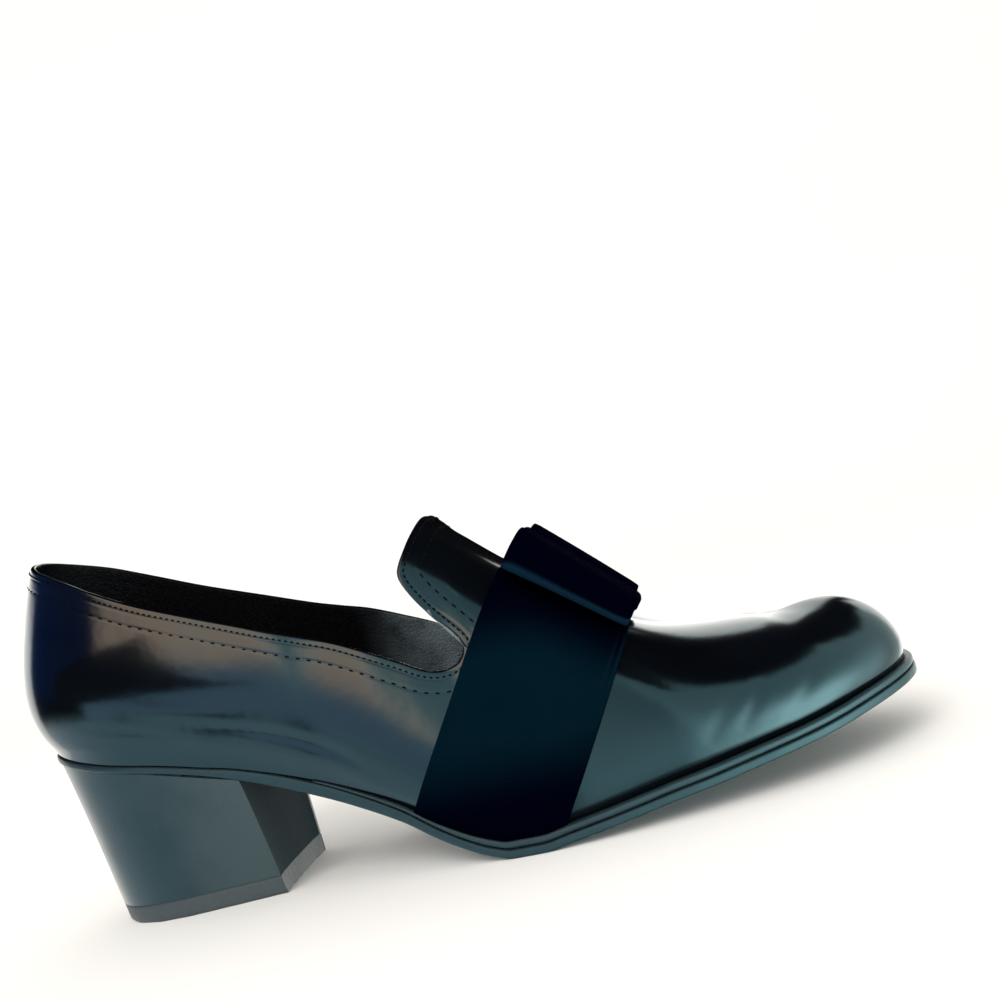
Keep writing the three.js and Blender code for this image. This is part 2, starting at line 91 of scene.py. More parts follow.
# Rows of the same tables: place along the sole, then shares
bottomRows = np.array([
    (0.0, 1.0, 0), (0.075, 0.905, 0), (0.157, 0.808, 0), (0.207, 0.738, 0), (0.246, 0.669, 0),
    (0.319, 0.518, 0), (0.375, 0.388, 0), (0.42, 0.275, 0), (0.46, 0.147, 0), (0.5, 0.048, 0),
    (0.518, 0.016, 0), (0.531, 0, 0), (0.566, 0, 0), (0.597, 0, 0.074), (0.637, 0, 0.168),
    (0.677, 0, 0.262), (0.713, 0, 0.349), (0.745, 0, 0.41), (0.812, 0, 0.557), (0.88, 0, 0.705),
    (0.937, 0, 0.859), (1.0, 0, 1),
])
edgeRows = np.array([
    (0.0, 0.52, 0.0, 0), (0.2, 0.54, 0.0, 0), (0.25, 0.8, 0.0, 0), (0.33, 0.96, 0.25, 0.15),
    (0.42, 0.85, 0.6, 0.5), (0.52, 0.63, 1.0, 1), (1.0, 0.62, 1.0, 1),
])
widthRows = np.array([
    (0.0, 0.31, 0.31), (0.146, 0.323, 0.3), (0.253, 0.323, 0.277), (0.344, 0.342, 0.247),
    (0.423, 0.395, 0.262), (0.503, 0.46, 0.335), (0.582, 0.503, 0.42), (0.642, 0.514, 0.468),
    (0.721, 0.504, 0.486), (0.8, 0.474, 0.48), (0.88, 0.425, 0.458), (1.0, 0.345, 0.42),
])
spineRows = np.array([
    (0.074, 1.08), (0.25, 1.3), (0.38, 1.37), (0.457, 1.375), (0.513, 1.266), (0.527, 1.215),
    (0.579, 1.016), (0.648, 0.754), (0.716, 0.541), (0.748, 0.487), (0.782, 0.446), (0.826, 0.402),
    (0.847, 0.377), (0.87, 0.363), (0.894, 0.36), (0.9085, 0.353),
])
ribRows = np.array([
    (0.0, 2.5, 0.062, 0.062, 0.0), (0.15, 3.4, 0.045, 0.045, 0.0), (0.3, 3.2, 0.04, 0.075, 0.0),
    (0.42, 2.8, 0.03, 0.09, 0.03), (0.52, 2.6, 0.015, 0.05, 0.06), (0.62, 2.3, 0.01, 0.02, 0.03),
    (0.75, 2.2, 0.01, 0.01, 0.0), (1.0, 2.2, 0.005, 0.005, 0.0),
])
collarRows = np.array([
    (0.0, 1.03, 1.03), (0.029, 1.0, 1.002), (0.073, 0.96, 0.965), (0.105, 0.922, 0.925),
    (0.132, 0.878, 0.893), (0.183, 0.812, 0.843), (0.252, 0.758, 0.8), (0.316, 0.734, 0.788),
    (0.358, 0.735, 0.803), (0.398, 0.742, 0.825), (0.458, 0.755, 0.855), (0.485, 0.748, 0.843),
    (0.505, 0.763, 0.843), (0.5215, 0.802, 0.858), (0.531, 0.856, 0.885),
])
tongueRows = np.array([
    (0.5322, 0.907), (0.5272, 0.949), (0.5185, 0.984), (0.504, 1.032), (0.4915, 1.09),
    (0.4825, 1.152), (0.4805, 1.2), (0.485, 1.26), (0.4945, 1.345), (0.5035, 1.425),
    (0.511, 1.497),
])


# Smooth curve through one column of a table, without overshoot between its rows
def smoothColumn(rows, column):
    xs = rows[:, 0]
    ys = rows[:, column]
    steps = np.diff(ys) / np.diff(xs)
    slopes = np.zeros(len(xs))
    slopes[0] = steps[0]
    slopes[-1] = steps[-1]
    before, after = steps[:-1], steps[1:]
    same = before * after > 0
    total = np.where(same, before + after, 1)
    slopes[1:-1] = np.where(same, 2 * before * after / total, 0)

    def value(at):
        place = np.clip(at, xs[0], xs[-1])
        i = np.clip(np.searchsorted(xs, place, side="right") - 1, 0, len(xs) - 2)
        step = xs[i + 1] - xs[i]
        t = (place - xs[i]) / step
        rest = 1 - t
        return (ys[i] * rest * rest * (1 + 2 * t) + ys[i + 1] * t * t * (3 - 2 * t)
                + step * (slopes[i] * t * rest * rest - slopes[i + 1] * t * t * rest))

    return value


heelShare, toeShare = smoothColumn(bottomRows, 1), smoothColumn(bottomRows, 2)
solePart, weltPart, marginPart = (smoothColumn(edgeRows, k) for k in (1, 2, 3))
lateralWidth, medialWidth = smoothColumn(widthRows, 1), smoothColumn(widthRows, 2)
spineRise = smoothColumn(spineRows, 1)
ribPower, swellLateral, swellMedial, hollowPart = (smoothColumn(ribRows, k) for k in (1, 2, 3, 4))


def placeX(at):
    return last["soleBack"] + at * last["soleLength"]


def shareOf(x):
    return (x - last["soleBack"]) / last["soleLength"]


def undersideZ(at):
    return last["heelHeight"] * heelShare(at) + last["toeSpring"] * toeShare(at)


def outsoleTopZ(at):
    return undersideZ(at) + last["soleThickness"] * solePart(at)


def featherZ(at):
    return outsoleTopZ(at) + last["clearance"] + (last["weltThickness"] + last["clearance"]) * weltPart(at)


def marginAt(at):
    return last["seatMargin"] + (last["weltMargin"] - last["seatMargin"]) * marginPart(at)


# Rounding of an end: 1 along the body, 0 at the tip
def endFactor(fromTip, roundOff):
    length, power = roundOff
    reach = np.clip(1 - fromTip / length, 0, 1)
    return (1 - reach ** power) ** (1 / power)


# Outline of the outsole: turn 0 at the back, half a turn at the toe, the lateral side first
def outlinePoint(turn):
    at = (1 - np.cos(turn)) / 2
    ends = endFactor(at, last["heelRound"]) * endFactor(1 - at, last["toeRound"])
    lateral = np.sin(turn) >= 0
    half = last["ballWidth"] * np.where(lateral, lateralWidth(at), medialWidth(at)) * ends
    return np.stack([placeX(at), np.where(lateral, -half, half)], -1)


def outlineNormal(turn, step=0.02):
    along = outlinePoint(turn + step) - outlinePoint(turn - step)
    along /= np.linalg.norm(along, axis=-1, keepdims=True)
    return np.stack([along[..., 1], -along[..., 0]], -1)


def insetPoint(turn, inset):
    return outlinePoint(turn) - outlineNormal(turn) * np.asarray(inset)[..., None]


spineStart, spineEnd = spineRows[0, 0], spineRows[-1, 0]


# A point of the upper's outer face: up is 0 at the feather line and a quarter turn at the spine
def lastPoint(turn, up):
    turn, up = np.broadcast_arrays(np.asarray(turn, float), np.asarray(up, float))
    at = (1 - np.cos(turn)) / 2
    foot = insetPoint(turn, marginAt(at))
    outward = outlineNormal(turn)
    spineAt = spineStart + (spineEnd - spineStart) * at
    footZ = featherZ(at)
    spineZ = featherZ(spineAt) + last["instepHeight"] * spineRise(spineAt)
    power = 2 / ribPower(at)
    across = np.maximum(np.cos(up), 1e-9) ** power
    height = np.maximum(np.sin(up), 0) ** power
    medialShare = (1 - np.sin(turn)) / 2
    swell = swellLateral(at) + (swellMedial(at) - swellLateral(at)) * medialShare
    swellShape = height * (1 - height) ** 3 / (0.25 * 0.75 ** 3)
    hollowShape = 16 * height ** 2 * (1 - height) ** 2
    push = last["ballWidth"] * (swell * swellShape - hollowPart(at) * hollowShape)
    spineX = placeX(spineAt)
    return np.stack([
        spineX + (foot[..., 0] - spineX) * across + outward[..., 0] * push,
        foot[..., 1] * across + outward[..., 1] * push,
        footZ + (spineZ - footZ) * height,
    ], -1)


# Flat map of the last: its feather line is the outline, its spine a line in the middle
mapTurns = np.linspace(1e-4, math.pi - 1e-4, 3000)


def mapTable(side):
    turns = mapTurns if side < 0 else 2 * math.pi - mapTurns
    at = (1 - np.cos(turns)) / 2
    foot = insetPoint(turns, marginAt(at))
    return foot[:, 0], np.abs(foot[:, 1]), placeX(spineStart + (spineEnd - spineStart) * at)


mapTables = {-1: mapTable(-1), 1: mapTable(1)}


# Turn and up of flat-map points (u along the foot, v across it, minus on the lateral side)
def fromMap(u, v):
    turn = np.zeros_like(u)
    up = np.zeros_like(u)
    for side in (-1, 1):
        pick = (v < 0) if side < 0 else (v >= 0)
        if not pick.any():
            continue
        uu, vv = u[pick], np.maximum(np.abs(v[pick]), 1e-7)
        footX, footY, spineX = mapTables[side]
        low = np.full(uu.shape, mapTurns[0])
        high = np.full(uu.shape, mapTurns[-1])
        for _ in range(36):
            mid = (low + high) / 2
            fx, fy, sx = (np.interp(mid, mapTurns, column) for column in (footX, footY, spineX))
            share = vv / np.maximum(fy, 1e-9)
            ahead = sx + (fx - sx) * share > uu
            high = np.where(ahead, mid, high)
            low = np.where(ahead, low, mid)
        mid = (low + high) / 2
        fx, fy, sx = (np.interp(mid, mapTurns, column) for column in (footX, footY, spineX))
        share = np.where(vv > 1e-3, vv / np.maximum(fy, 1e-9), 0)
        endOn = (vv <= 1e-3) | (share > 1.2)
        alongShare = np.abs((uu - sx) / np.where(np.abs(fx - sx) < 1e-6, 1e-6, fx - sx))
        share = np.where(endOn & ((uu < sx.min()) | (uu > sx.max()) | (np.abs(fx - sx) > 1)), alongShare, share)
        turn[pick] = mid if side < 0 else 2 * math.pi - mid
        up[pick] = (1 - np.clip(share, 0, 1)) * math.pi / 2
    return turn, up


def toMap(turn, up):
    at = (1 - np.cos(turn)) / 2
    foot = insetPoint(turn, marginAt(at))
    spineX = placeX(spineStart + (spineEnd - spineStart) * at)
    share = 1 - up / (math.pi / 2)
    return spineX + (foot[..., 0] - spineX) * share, foot[..., 1] * share


# Smooth line through rows of points, with the given number of samples
def throughRows(points, count):
    points = np.asarray(points, float)
    ends = np.vstack([2 * points[0] - points[1], points, 2 * points[-1] - points[-2]])
    t = np.linspace(0, len(points) - 1 - 1e-9, count)
    i = t.astype(int)
    f = (t - i)[:, None]
    a, b, c, d = (ends[i + k] for k in range(4))
    return 0.5 * (2 * b + (c - a) * f + (2 * a - 5 * b + 4 * c - d) * f ** 2 + (3 * b - a - 3 * c + d) * f ** 3)


# Length along a line, up to each of its points
def lineLengths(points):
    return np.concatenate([[0], np.cumsum(np.linalg.norm(np.diff(points, axis=0), axis=1))])


# The last's points that lie at given places in the side view, by Newton steps from the nearest of a grid
def fromSideView(xs, zs, side):
    turns = np.linspace(0.02, math.pi - 0.02, 400)
    turns = turns if side < 0 else 2 * math.pi - turns
    ups = np.linspace(0.02, math.pi / 2 - 0.03, 160)
    gridTurn, gridUp = (g.ravel() for g in np.meshgrid(turns, ups, indexing="ij"))
    grid = lastPoint(gridTurn, gridUp)
    nearest = [int(np.argmin((grid[:, 0] - x) ** 2 + (grid[:, 2] - z) ** 2)) for x, z in zip(xs, zs)]
    turn, up = gridTurn[nearest].copy(), gridUp[nearest].copy()
    step = 1e-4
    for _ in range(12):
        here = lastPoint(turn, up)
        byTurn = (lastPoint(turn + step, up) - here) / step
        byUp = (lastPoint(turn, up + step) - here) / step
        missX, missZ = xs - here[:, 0], zs - here[:, 2]
        det = byTurn[:, 0] * byUp[:, 2] - byUp[:, 0] * byTurn[:, 2]
        det = np.where(np.abs(det) < 1e-6, 1e-6, det)
        moveTurn = (missX * byUp[:, 2] - missZ * byUp[:, 0]) / det
        moveUp = (missZ * byTurn[:, 0] - missX * byTurn[:, 2]) / det
        turn = turn + np.clip(moveTurn, -0.05, 0.05)
        up = np.clip(up + np.clip(moveUp, -0.05, 0.05), 0.01, math.pi / 2 - 0.005)
    here = lastPoint(turn, up)
    return turn, up, np.hypot(xs - here[:, 0], zs - here[:, 2])


# The opening's edge in the flat map, from the back to the tongue's top, for one side
def openingEdge(side):
    column = 1 if side < 0 else 2
    spots = [(placeX(r[0]), featherZ(r[0]) + last["backHeight"] * r[column]) for r in collarRows]
    spots += [(placeX(r[0]), featherZ(r[0]) + last["backHeight"] * r[1]) for r in tongueRows]
    line = throughRows(spots, 420)
    turn, up, miss = fromSideView(line[:, 0], line[:, 1], side)
    u, v = toMap(turn, up)
    keep = (miss < 0.05) & (line[:, 0] > -22)
    keep[-26:] = False
    u, v = u[keep], v[keep]
    backTurns = np.linspace(0.001, 0.55, 60)
    backTurns = backTurns if side < 0 else 2 * math.pi - backTurns
    low, high = np.full(60, 0.2), np.full(60, math.pi / 2 - 0.01)
    for _ in range(40):
        mid = (low + high) / 2
        spot = lastPoint(backTurns, mid)
        over = spot[:, 2] > np.interp(spot[:, 0], line[:200, 0], line[:200, 1])
        high = np.where(over, mid, high)
        low = np.where(over, low, mid)
    backU, backV = toMap(backTurns, low)
    backKeep = backU < u[0] - 0.5
    u = np.concatenate([backU[backKeep], u])
    v = np.concatenate([backV[backKeep], v])
    topU = tongue["topShare"] * last["soleLength"] + last["soleBack"]
    endU, endV = u[-1], v[-1]
    slope = np.array([u[-1] - u[-6], v[-1] - v[-6]])
    slope /= np.linalg.norm(slope)
    reach = abs(endV)
    t = np.linspace(0, 1, 40)[1:, None]
    start, goal = np.array([endU, endV]), np.array([topU, 0.0])
    pull, leave = slope * reach * 1.1, np.array([0.0, -np.sign(endV) * reach * 1.1])
    arc = ((2 * t ** 3 - 3 * t ** 2 + 1) * start + (t ** 3 - 2 * t ** 2 + t) * pull
           + (3 * t ** 2 - 2 * t ** 3) * goal + (t ** 3 - t ** 2) * leave)
    edge = np.vstack([np.stack([u, v], -1), arc])
    edge[0, 1] = 0
    return edge


tongue = {"topShare": 0.511}
edges = {side: openingEdge(side) for side in (-1, 1)}
print("scene: opening edge set")


def smoothStep(low, high, value):
    t = np.clip((value - low) / (high - low), 0, 1)
    return t * t * (3 - 2 * t)


# Gentle unevenness from a few waves, the same on every run
def waves(points, size, seed, count=7):
    rng = np.random.default_rng(seed)
    total = np.zeros(points.shape[:-1])
    for k in range(count):
        direction = rng.normal(size=3)
        direction /= np.linalg.norm(direction)
        phase = rng.uniform(0, 2 * math.pi)
        total += np.sin(points @ direction * 2 * math.pi / (size * rng.uniform(0.7, 1.4)) + phase)
    return total / math.sqrt(count)


# A mesh object from points in millimetres; materials are chosen face by face
def addMesh(name, points, faces, materials, picks=None, uvs=None):
    data = bpy.data.meshes.new(name)
    data.from_pydata((np.asarray(points) * mm).tolist(), [], [tuple(map(int, f)) for f in faces])
    for material in materials:
        data.materials.append(material)
    if picks is not None:
        data.polygons.foreach_set("material_index", np.asarray(picks, np.int32))
    data.polygons.foreach_set("use_smooth", np.ones(len(data.polygons), bool))
    if uvs is not None:
        layer = data.uv_layers.new(name="UVMap")
        loops = np.zeros(len(data.loops), np.int32)
        data.loops.foreach_get("vertex_index", loops)
        layer.data.foreach_set("uv", np.asarray(uvs)[loops].ravel())
    data.validate()
    data.update()
    piece = bpy.data.objects.new(name, data)
    bpy.context.scene.collection.objects.link(piece)
    return piece


# Faces of a grid of rows by columns of points
def gridFaces(rows, columns, start=0, closed=False, flip=False):
    i, j = np.meshgrid(np.arange(rows - 1), np.arange(columns if closed else columns - 1), indexing="ij")
    a = start + i * columns + j
    b = start + i * columns + (j + 1) % columns
    quads = np.stack([a, b, b + columns, a + columns], -1).reshape(-1, 4)
    return quads[:, ::-1] if flip else quads


# Outward directions of a grid of points that is closed round its columns
def gridNormals(points, closed=True):
    if closed:
        byColumn = np.roll(points, -1, 1) - np.roll(points, 1, 1)
    else:
        byColumn = np.gradient(points, axis=1)
    byRow = np.gradient(points, axis=0)
    normals = np.cross(byColumn, byRow)
    size = np.linalg.norm(normals, axis=-1, keepdims=True)
    return normals / np.maximum(size, 1e-9)


upperLook = {
    "columns": 700,
    "rows": 84,
    "innerRows": 34,
    "wall": 1.6,
    "tuck": 0.9,  # how far the leather turns in just above the welt
}

# Outline shares from the back to the toe and the opening's shares that face them
def ringMap():
    half = upperLook["columns"] // 2
    outer = (np.arange(half) + 0.5) / half
    sides = {}
    for side in (-1, 1):
        edge = edges[side]
        turns = np.linspace(1e-4, math.pi - 1e-4, 4000)
        turns = turns if side < 0 else 2 * math.pi - turns
        foot = insetPoint(turns, marginAt((1 - np.cos(turns)) / 2))
        reach = lineLengths(foot)
        reach /= reach[-1]
        footTurns = np.interp(outer, reach, turns)
        length = lineLengths(edge)
        length /= length[-1]
        notch = length[int(np.argmax(edge[:, 0]))]
        footX = np.interp(outer, reach, foot[:, 0])
        notchX = edge[:, 0].max() + 9
        outerNotch = float(np.interp(notchX, footX, outer))
        inner = np.where(
            outer < outerNotch,
            notch * (outer / outerNotch),
            notch + (1 - notch) * (np.maximum(outer - outerNotch, 0) / (1 - outerNotch)) ** 0.9,
        )
        blur = np.convolve(np.pad(inner, 12, mode="reflect", reflect_type="odd"), np.ones(25) / 25, mode="valid")
        sides[side] = (footTurns, np.stack([np.interp(blur, length, edge[:, k]) for k in (0, 1)], -1))
    footTurns = np.concatenate([sides[-1][0], sides[1][0][::-1]])
    rim = np.concatenate([sides[-1][1], sides[1][1][::-1]])
    return footTurns, rim


footTurns, rimMap = ringMap()
footU, footV = toMap(footTurns, np.zeros_like(footTurns))


# How strongly each column bends, so that none cuts the corner of the opening below the tongue's ears
def columnBend():
    bend = np.ones(len(footU))
    half = len(footU) // 2
    for part, inward in ((slice(0, half), 1), (slice(half, 2 * half), -1)):
        u, v = rimMap[part].T
        v, low = v * inward, footV[part] * inward
        corner = int(np.argmax(u))
        reach = ((v[corner] - low) / (v - low)).clip(0.05, 0.985)
        left = ((footU[part] - u[corner] - 0.5) / (footU[part] - u)).clip(0.05, 0.985)
        overhang = (v > v[corner] + 0.1) & (u < u[corner])
        bend[part] = np.where(overhang, (np.log(left) / np.log(reach)).clip(1, 4.5), 1)
    wide = np.max([np.roll(bend, k) for k in range(-4, 5)], 0)
    return np.convolve(np.pad(wide, 8, mode="wrap"), np.ones(17) / 17, mode="valid")


# The upper's leather as a ring of columns from the feather line to the opening's edge
def upperSkin():
    rows = upperLook["rows"]
    share = np.linspace(0, 1, rows) ** 0.92
    u = footU + (rimMap[:, 0] - footU) * share[:, None] ** columnBend()
    v = footV + (rimMap[:, 1] - footV) * share[:, None]
    turn, up = fromMap(u.ravel(), v.ravel())
    turn, up = turn.reshape(u.shape), up.reshape(u.shape)
    turn[0], up[0] = footTurns, 0
    return lastPoint(turn, up), turn


skin, skinTurn = upperSkin()


# Distance of every skin point from the opening's edge
def edgeDistance(points, rim):
    tree = kdtree.KDTree(len(rim))
    for i, spot in enumerate(rim):
        tree.insert(spot, i)
    tree.balance()
    return np.array([tree.find(spot)[2] for spot in points])


fromEdge = edgeDistance(skin.reshape(-1, 3), skin[-1]).reshape(skin.shape[:2])
normals = gridNormals(skin)
print("scene: skin ready", skin.shape)


# Socket maths: an expression on values adds its Math nodes to the tree
class Socket:
    def __init__(self, tree, source):
        self.tree, self.source = tree, source

    def math(self, operation, other=None, first=False):
        node = self.tree.nodes.new("ShaderNodeMath")
        node.operation = operation
        order = [self, other] if not first else [other, self]
        for slotIndex, value in enumerate(order):
            if value is None:
                continue
            if isinstance(value, Socket):
                self.tree.links.new(value.source, node.inputs[slotIndex])
            else:
                node.inputs[slotIndex].default_value = value
        return Socket(self.tree, node.outputs[0])

    def __add__(self, other):
        return self.math("ADD", other)

    def __sub__(self, other):
        return self.math("SUBTRACT", other)

    def __rsub__(self, other):
        return self.math("SUBTRACT", other, first=True)

    def __mul__(self, other):
        return self.math("MULTIPLY", other)

    def __truediv__(self, other):
        return self.math("DIVIDE", other)

    def __rtruediv__(self, other):
        return self.math("DIVIDE", other, first=True)

    def __pow__(self, other):
        return self.math("POWER", other)

    __radd__ = __add__
    __rmul__ = __mul__


# A material being wired: node() takes a type, its settings and its sockets' values or links
class Finish:
    def __init__(self, name):
        self.material = bpy.data.materials.new(name)
        self.material.use_nodes = True
        self.tree = self.material.node_tree
        self.tree.nodes.clear()
        self.place = self.node("ShaderNodeTexCoord", output="Object")

    def node(self, kind, settings=None, output=0, **sockets):
        made = self.tree.nodes.new(kind)
        for key, value in (settings or {}).items():
            if key == "stops":
                ramp = made.color_ramp.elements
                while len(ramp) < len(value):
                    ramp.new(0.5)
                for element, (where, colour) in zip(ramp, value):
                    element.position, element.color = where, (*colour, 1)
            else:
                setattr(made, key, value)
        for key, value in sockets.items():
            socket = made.inputs[int(key[1:]) if key[0] == "_" and key[1:].isdigit() else key.replace("_", " ")]
            if isinstance(value, Socket):
                self.tree.links.new(value.source, socket)
            else:
                socket.default_value = value
        return Socket(self.tree, made.outputs[output])

    def scaled(self, factors):
        return self.node("ShaderNodeVectorMath", {"operation": "MULTIPLY"}, _0=self.place, _1=factors)

    def noise(self, size, detail=3, roughness=0.5, vector=None, distortion=0.0):
        return self.node(
            "ShaderNodeTexNoise", Vector=vector or self.place, Scale=1 / size, Detail=detail,
            Roughness=roughness, Distortion=distortion,
        )

    def ramp(self, factor, low, high):
        return self.node("ShaderNodeMapRange", {"interpolation_type": "SMOOTHSTEP"}, Value=factor,
                         From_Min=low, From_Max=high, To_Min=0.0, To_Max=1.0)

    def mix(self, factor, first, second):
        made = self.tree.nodes.new("ShaderNodeMix")
        made.data_type = "RGBA"
        for socket, value in ((made.inputs["Factor"], factor), (made.inputs[6], first), (made.inputs[7], second)):
            if isinstance(value, Socket):
                self.tree.links.new(value.source, socket)
            elif isinstance(value, tuple):
                socket.default_value = (*value, 1)
            else:
                socket.default_value = value
        return Socket(self.tree, made.outputs[2])

    def bump(self, height, distance, strength=1.0, normal=None):
        sockets = {"Height": height, "Distance": distance, "Strength": strength}
        if normal is not None:
            sockets["Normal"] = normal
        return self.node("ShaderNodeBump", **sockets)

    def shade(self, **sockets):
        surface = self.node("ShaderNodeBsdfPrincipled", output="BSDF", **sockets)
        end = self.tree.nodes.new("ShaderNodeOutputMaterial")
        self.tree.links.new(surface.source, end.inputs["Surface"])
        return self.material


polish = {"colour": (0.0012, 0.0015, 0.0025), "roughness": 0.095, "coat": 0.05, "coatRoughness": 0.05}


def polishedLeather():
    finish = Finish("polishedLeather")
    cloudy = finish.noise(0.018, detail=4)
    smear = finish.noise(0.05, detail=2, vector=finish.scaled((1.0, 1.0, 2.4)))
    grain = finish.noise(0.0005, detail=2)
    dimple = finish.noise(0.007, detail=2)
    height = grain * 0.05 + dimple * 1.0
    roughness = polish["roughness"] + cloudy * 0.06 + smear * 0.05
    colour = finish.mix(finish.ramp(smear, 0.35, 0.7), polish["colour"], (0.002, 0.0026, 0.004))
    return finish.shade(**{
        "Base_Color": colour, "Roughness": roughness, "Normal": finish.bump(height, 0.00012, 0.5),
        "Coat_Weight": polish["coat"], "Coat_Roughness": polish["coatRoughness"], "Specular_IOR_Level": 0.55,
        "Specular_Tint": (0.45, 0.87, 1.0, 1.0),
    })


# the lining's second colour is painted light, laid on its front where light falls in through the opening
lining = {"colour": (0.0012, 0.0014, 0.002), "wearAndPaintedLight": (0.17, 0.21, 0.225), "roughness": 0.42, "grain": 0.0011}


def liningLeather():
    finish = Finish("grainedLining")
    cells = finish.node("ShaderNodeTexVoronoi", {"feature": "DISTANCE_TO_EDGE"}, output=0,
                        Vector=finish.place, Scale=1 / lining["grain"])
    fine = finish.noise(0.0004, detail=2)
    height = finish.ramp(cells, 0.0, 0.25) * 0.8 + fine * 0.3
    forward = finish.node("ShaderNodeSeparateXYZ", output="X", Vector=finish.place)
    # painted light: lighter in noisy patches towards the front, where light falls in through the opening
    wearAndPaintedLight = finish.ramp(forward, 0.055, 0.09) * finish.ramp(finish.noise(0.012) + fine * 0.4, 0.4, 0.85)
    return finish.shade(**{
        "Base_Color": finish.mix(wearAndPaintedLight, lining["colour"], lining["wearAndPaintedLight"]),
        "Roughness": lining["roughness"] + fine * 0.12,
        "Normal": finish.bump(height, 0.00016, 0.9), "Specular_IOR_Level": 0.3, "IOR": 1.2,
    })


# the last colour is painted light, a lighter tone laid on the heel cover's front
heelCover = {"colour": (0.003, 0.008, 0.011), "front": (0.035, 0.045, 0.046), "roughness": 0.26}


def satinLeather():
    finish = Finish("satinHeelCover")
    cloudy = finish.noise(0.02, detail=3)
    grain = finish.noise(0.0006, detail=3)
    scuff = finish.noise(0.004, detail=5, vector=finish.scaled((1.0, 1.0, 0.3)))
    forward = finish.node("ShaderNodeSeparateXYZ", output="X", Vector=finish.place)
    clouded = finish.mix(finish.ramp(cloudy, 0.35, 0.7), heelCover["colour"], (0.007, 0.014, 0.018))
    return finish.shade(**{
        # painted light: towards its front the heel cover is painted a lighter tone
        "Base_Color": finish.mix(finish.ramp(forward + cloudy * 0.02, 0.0, 0.035), clouded, heelCover["front"]),
        "Roughness": heelCover["roughness"] + cloudy * 0.14 + finish.ramp(scuff, 0.62, 0.75) * 0.1,
        "Normal": finish.bump(grain * 0.6 + cloudy * 2.0, 0.00015, 0.6),
        "Coat_Weight": 0.03, "Coat_Roughness": 0.2, "Specular_Tint": (0.5, 0.9, 1.0, 1.0),
    })


# The heel's front, in its own shade
def heelBreast():
    finish = Finish("heelBreast")
    grain = finish.noise(0.0012, detail=4)
    return finish.shade(**{
        "Base_Color": finish.mix(grain, (0.006, 0.017, 0.022), (0.009, 0.024, 0.03)), "Roughness": 0.6,
        "Normal": finish.bump(grain, 0.0002, 0.6), "IOR": 1.08,
    })


edgePaint = {"colour": (0.007, 0.014, 0.018), "roughness": 0.36}


def paintedEdge(name, lift):
    finish = Finish(name)
    streaks = finish.noise(0.002, detail=4, vector=finish.scaled((0.25, 0.25, 2.0)))
    fine = finish.noise(0.0005, detail=2)
    return finish.shade(**{
        "Base_Color": finish.mix(streaks, edgePaint["colour"], (0.014 + lift, 0.026 + lift, 0.03 + lift)),
        "Roughness": edgePaint["roughness"] + streaks * 0.16, "Specular_Tint": (0.45, 0.9, 1.0, 1.0),
        "Normal": finish.bump(streaks * 0.8 + fine * 0.25, 0.00016, 0.6),
    })


def blackRubber():
    finish = Finish("blackRubber")
    mottle = finish.noise(0.0016, detail=5)
    return finish.shade(**{
        "Base_Color": finish.mix(mottle, (0.02, 0.03, 0.034), (0.05, 0.062, 0.068)),
        "Roughness": 0.55 + mottle * 0.2,
        "Normal": finish.bump(mottle, 0.00025, 0.8),
    })


ribbon = {
    "width": 39.0, "slope": 33.4, "seatShare": 0.645, "thickness": 0.9, "gap": 0.4,
    # the ribbon's own colour, then its painted lit tone, then the painted highlight along the bow's folds
    "colour": (0.0002, 0.0004, 0.0034), "lift": (0.001, 0.0095, 0.016),
    "paintedFoldHighlight": (0.0042, 0.018, 0.036), "roughness": 0.62,
    # painted light and shade: where the painted lit tone rises and falls, heights in metres, and how far the face looks
    # up before it is painted dark; the fold values set where the bow gets its painted highlight
    "litHeights": (0.012, 0.034), "paintedShadeHeights": (0.046, 0.066), "paintedShadeFacing": (0.3, 0.75),
    "paintedFoldFacing": (-0.6, -0.2), "paintedFoldPower": 2.0,
}


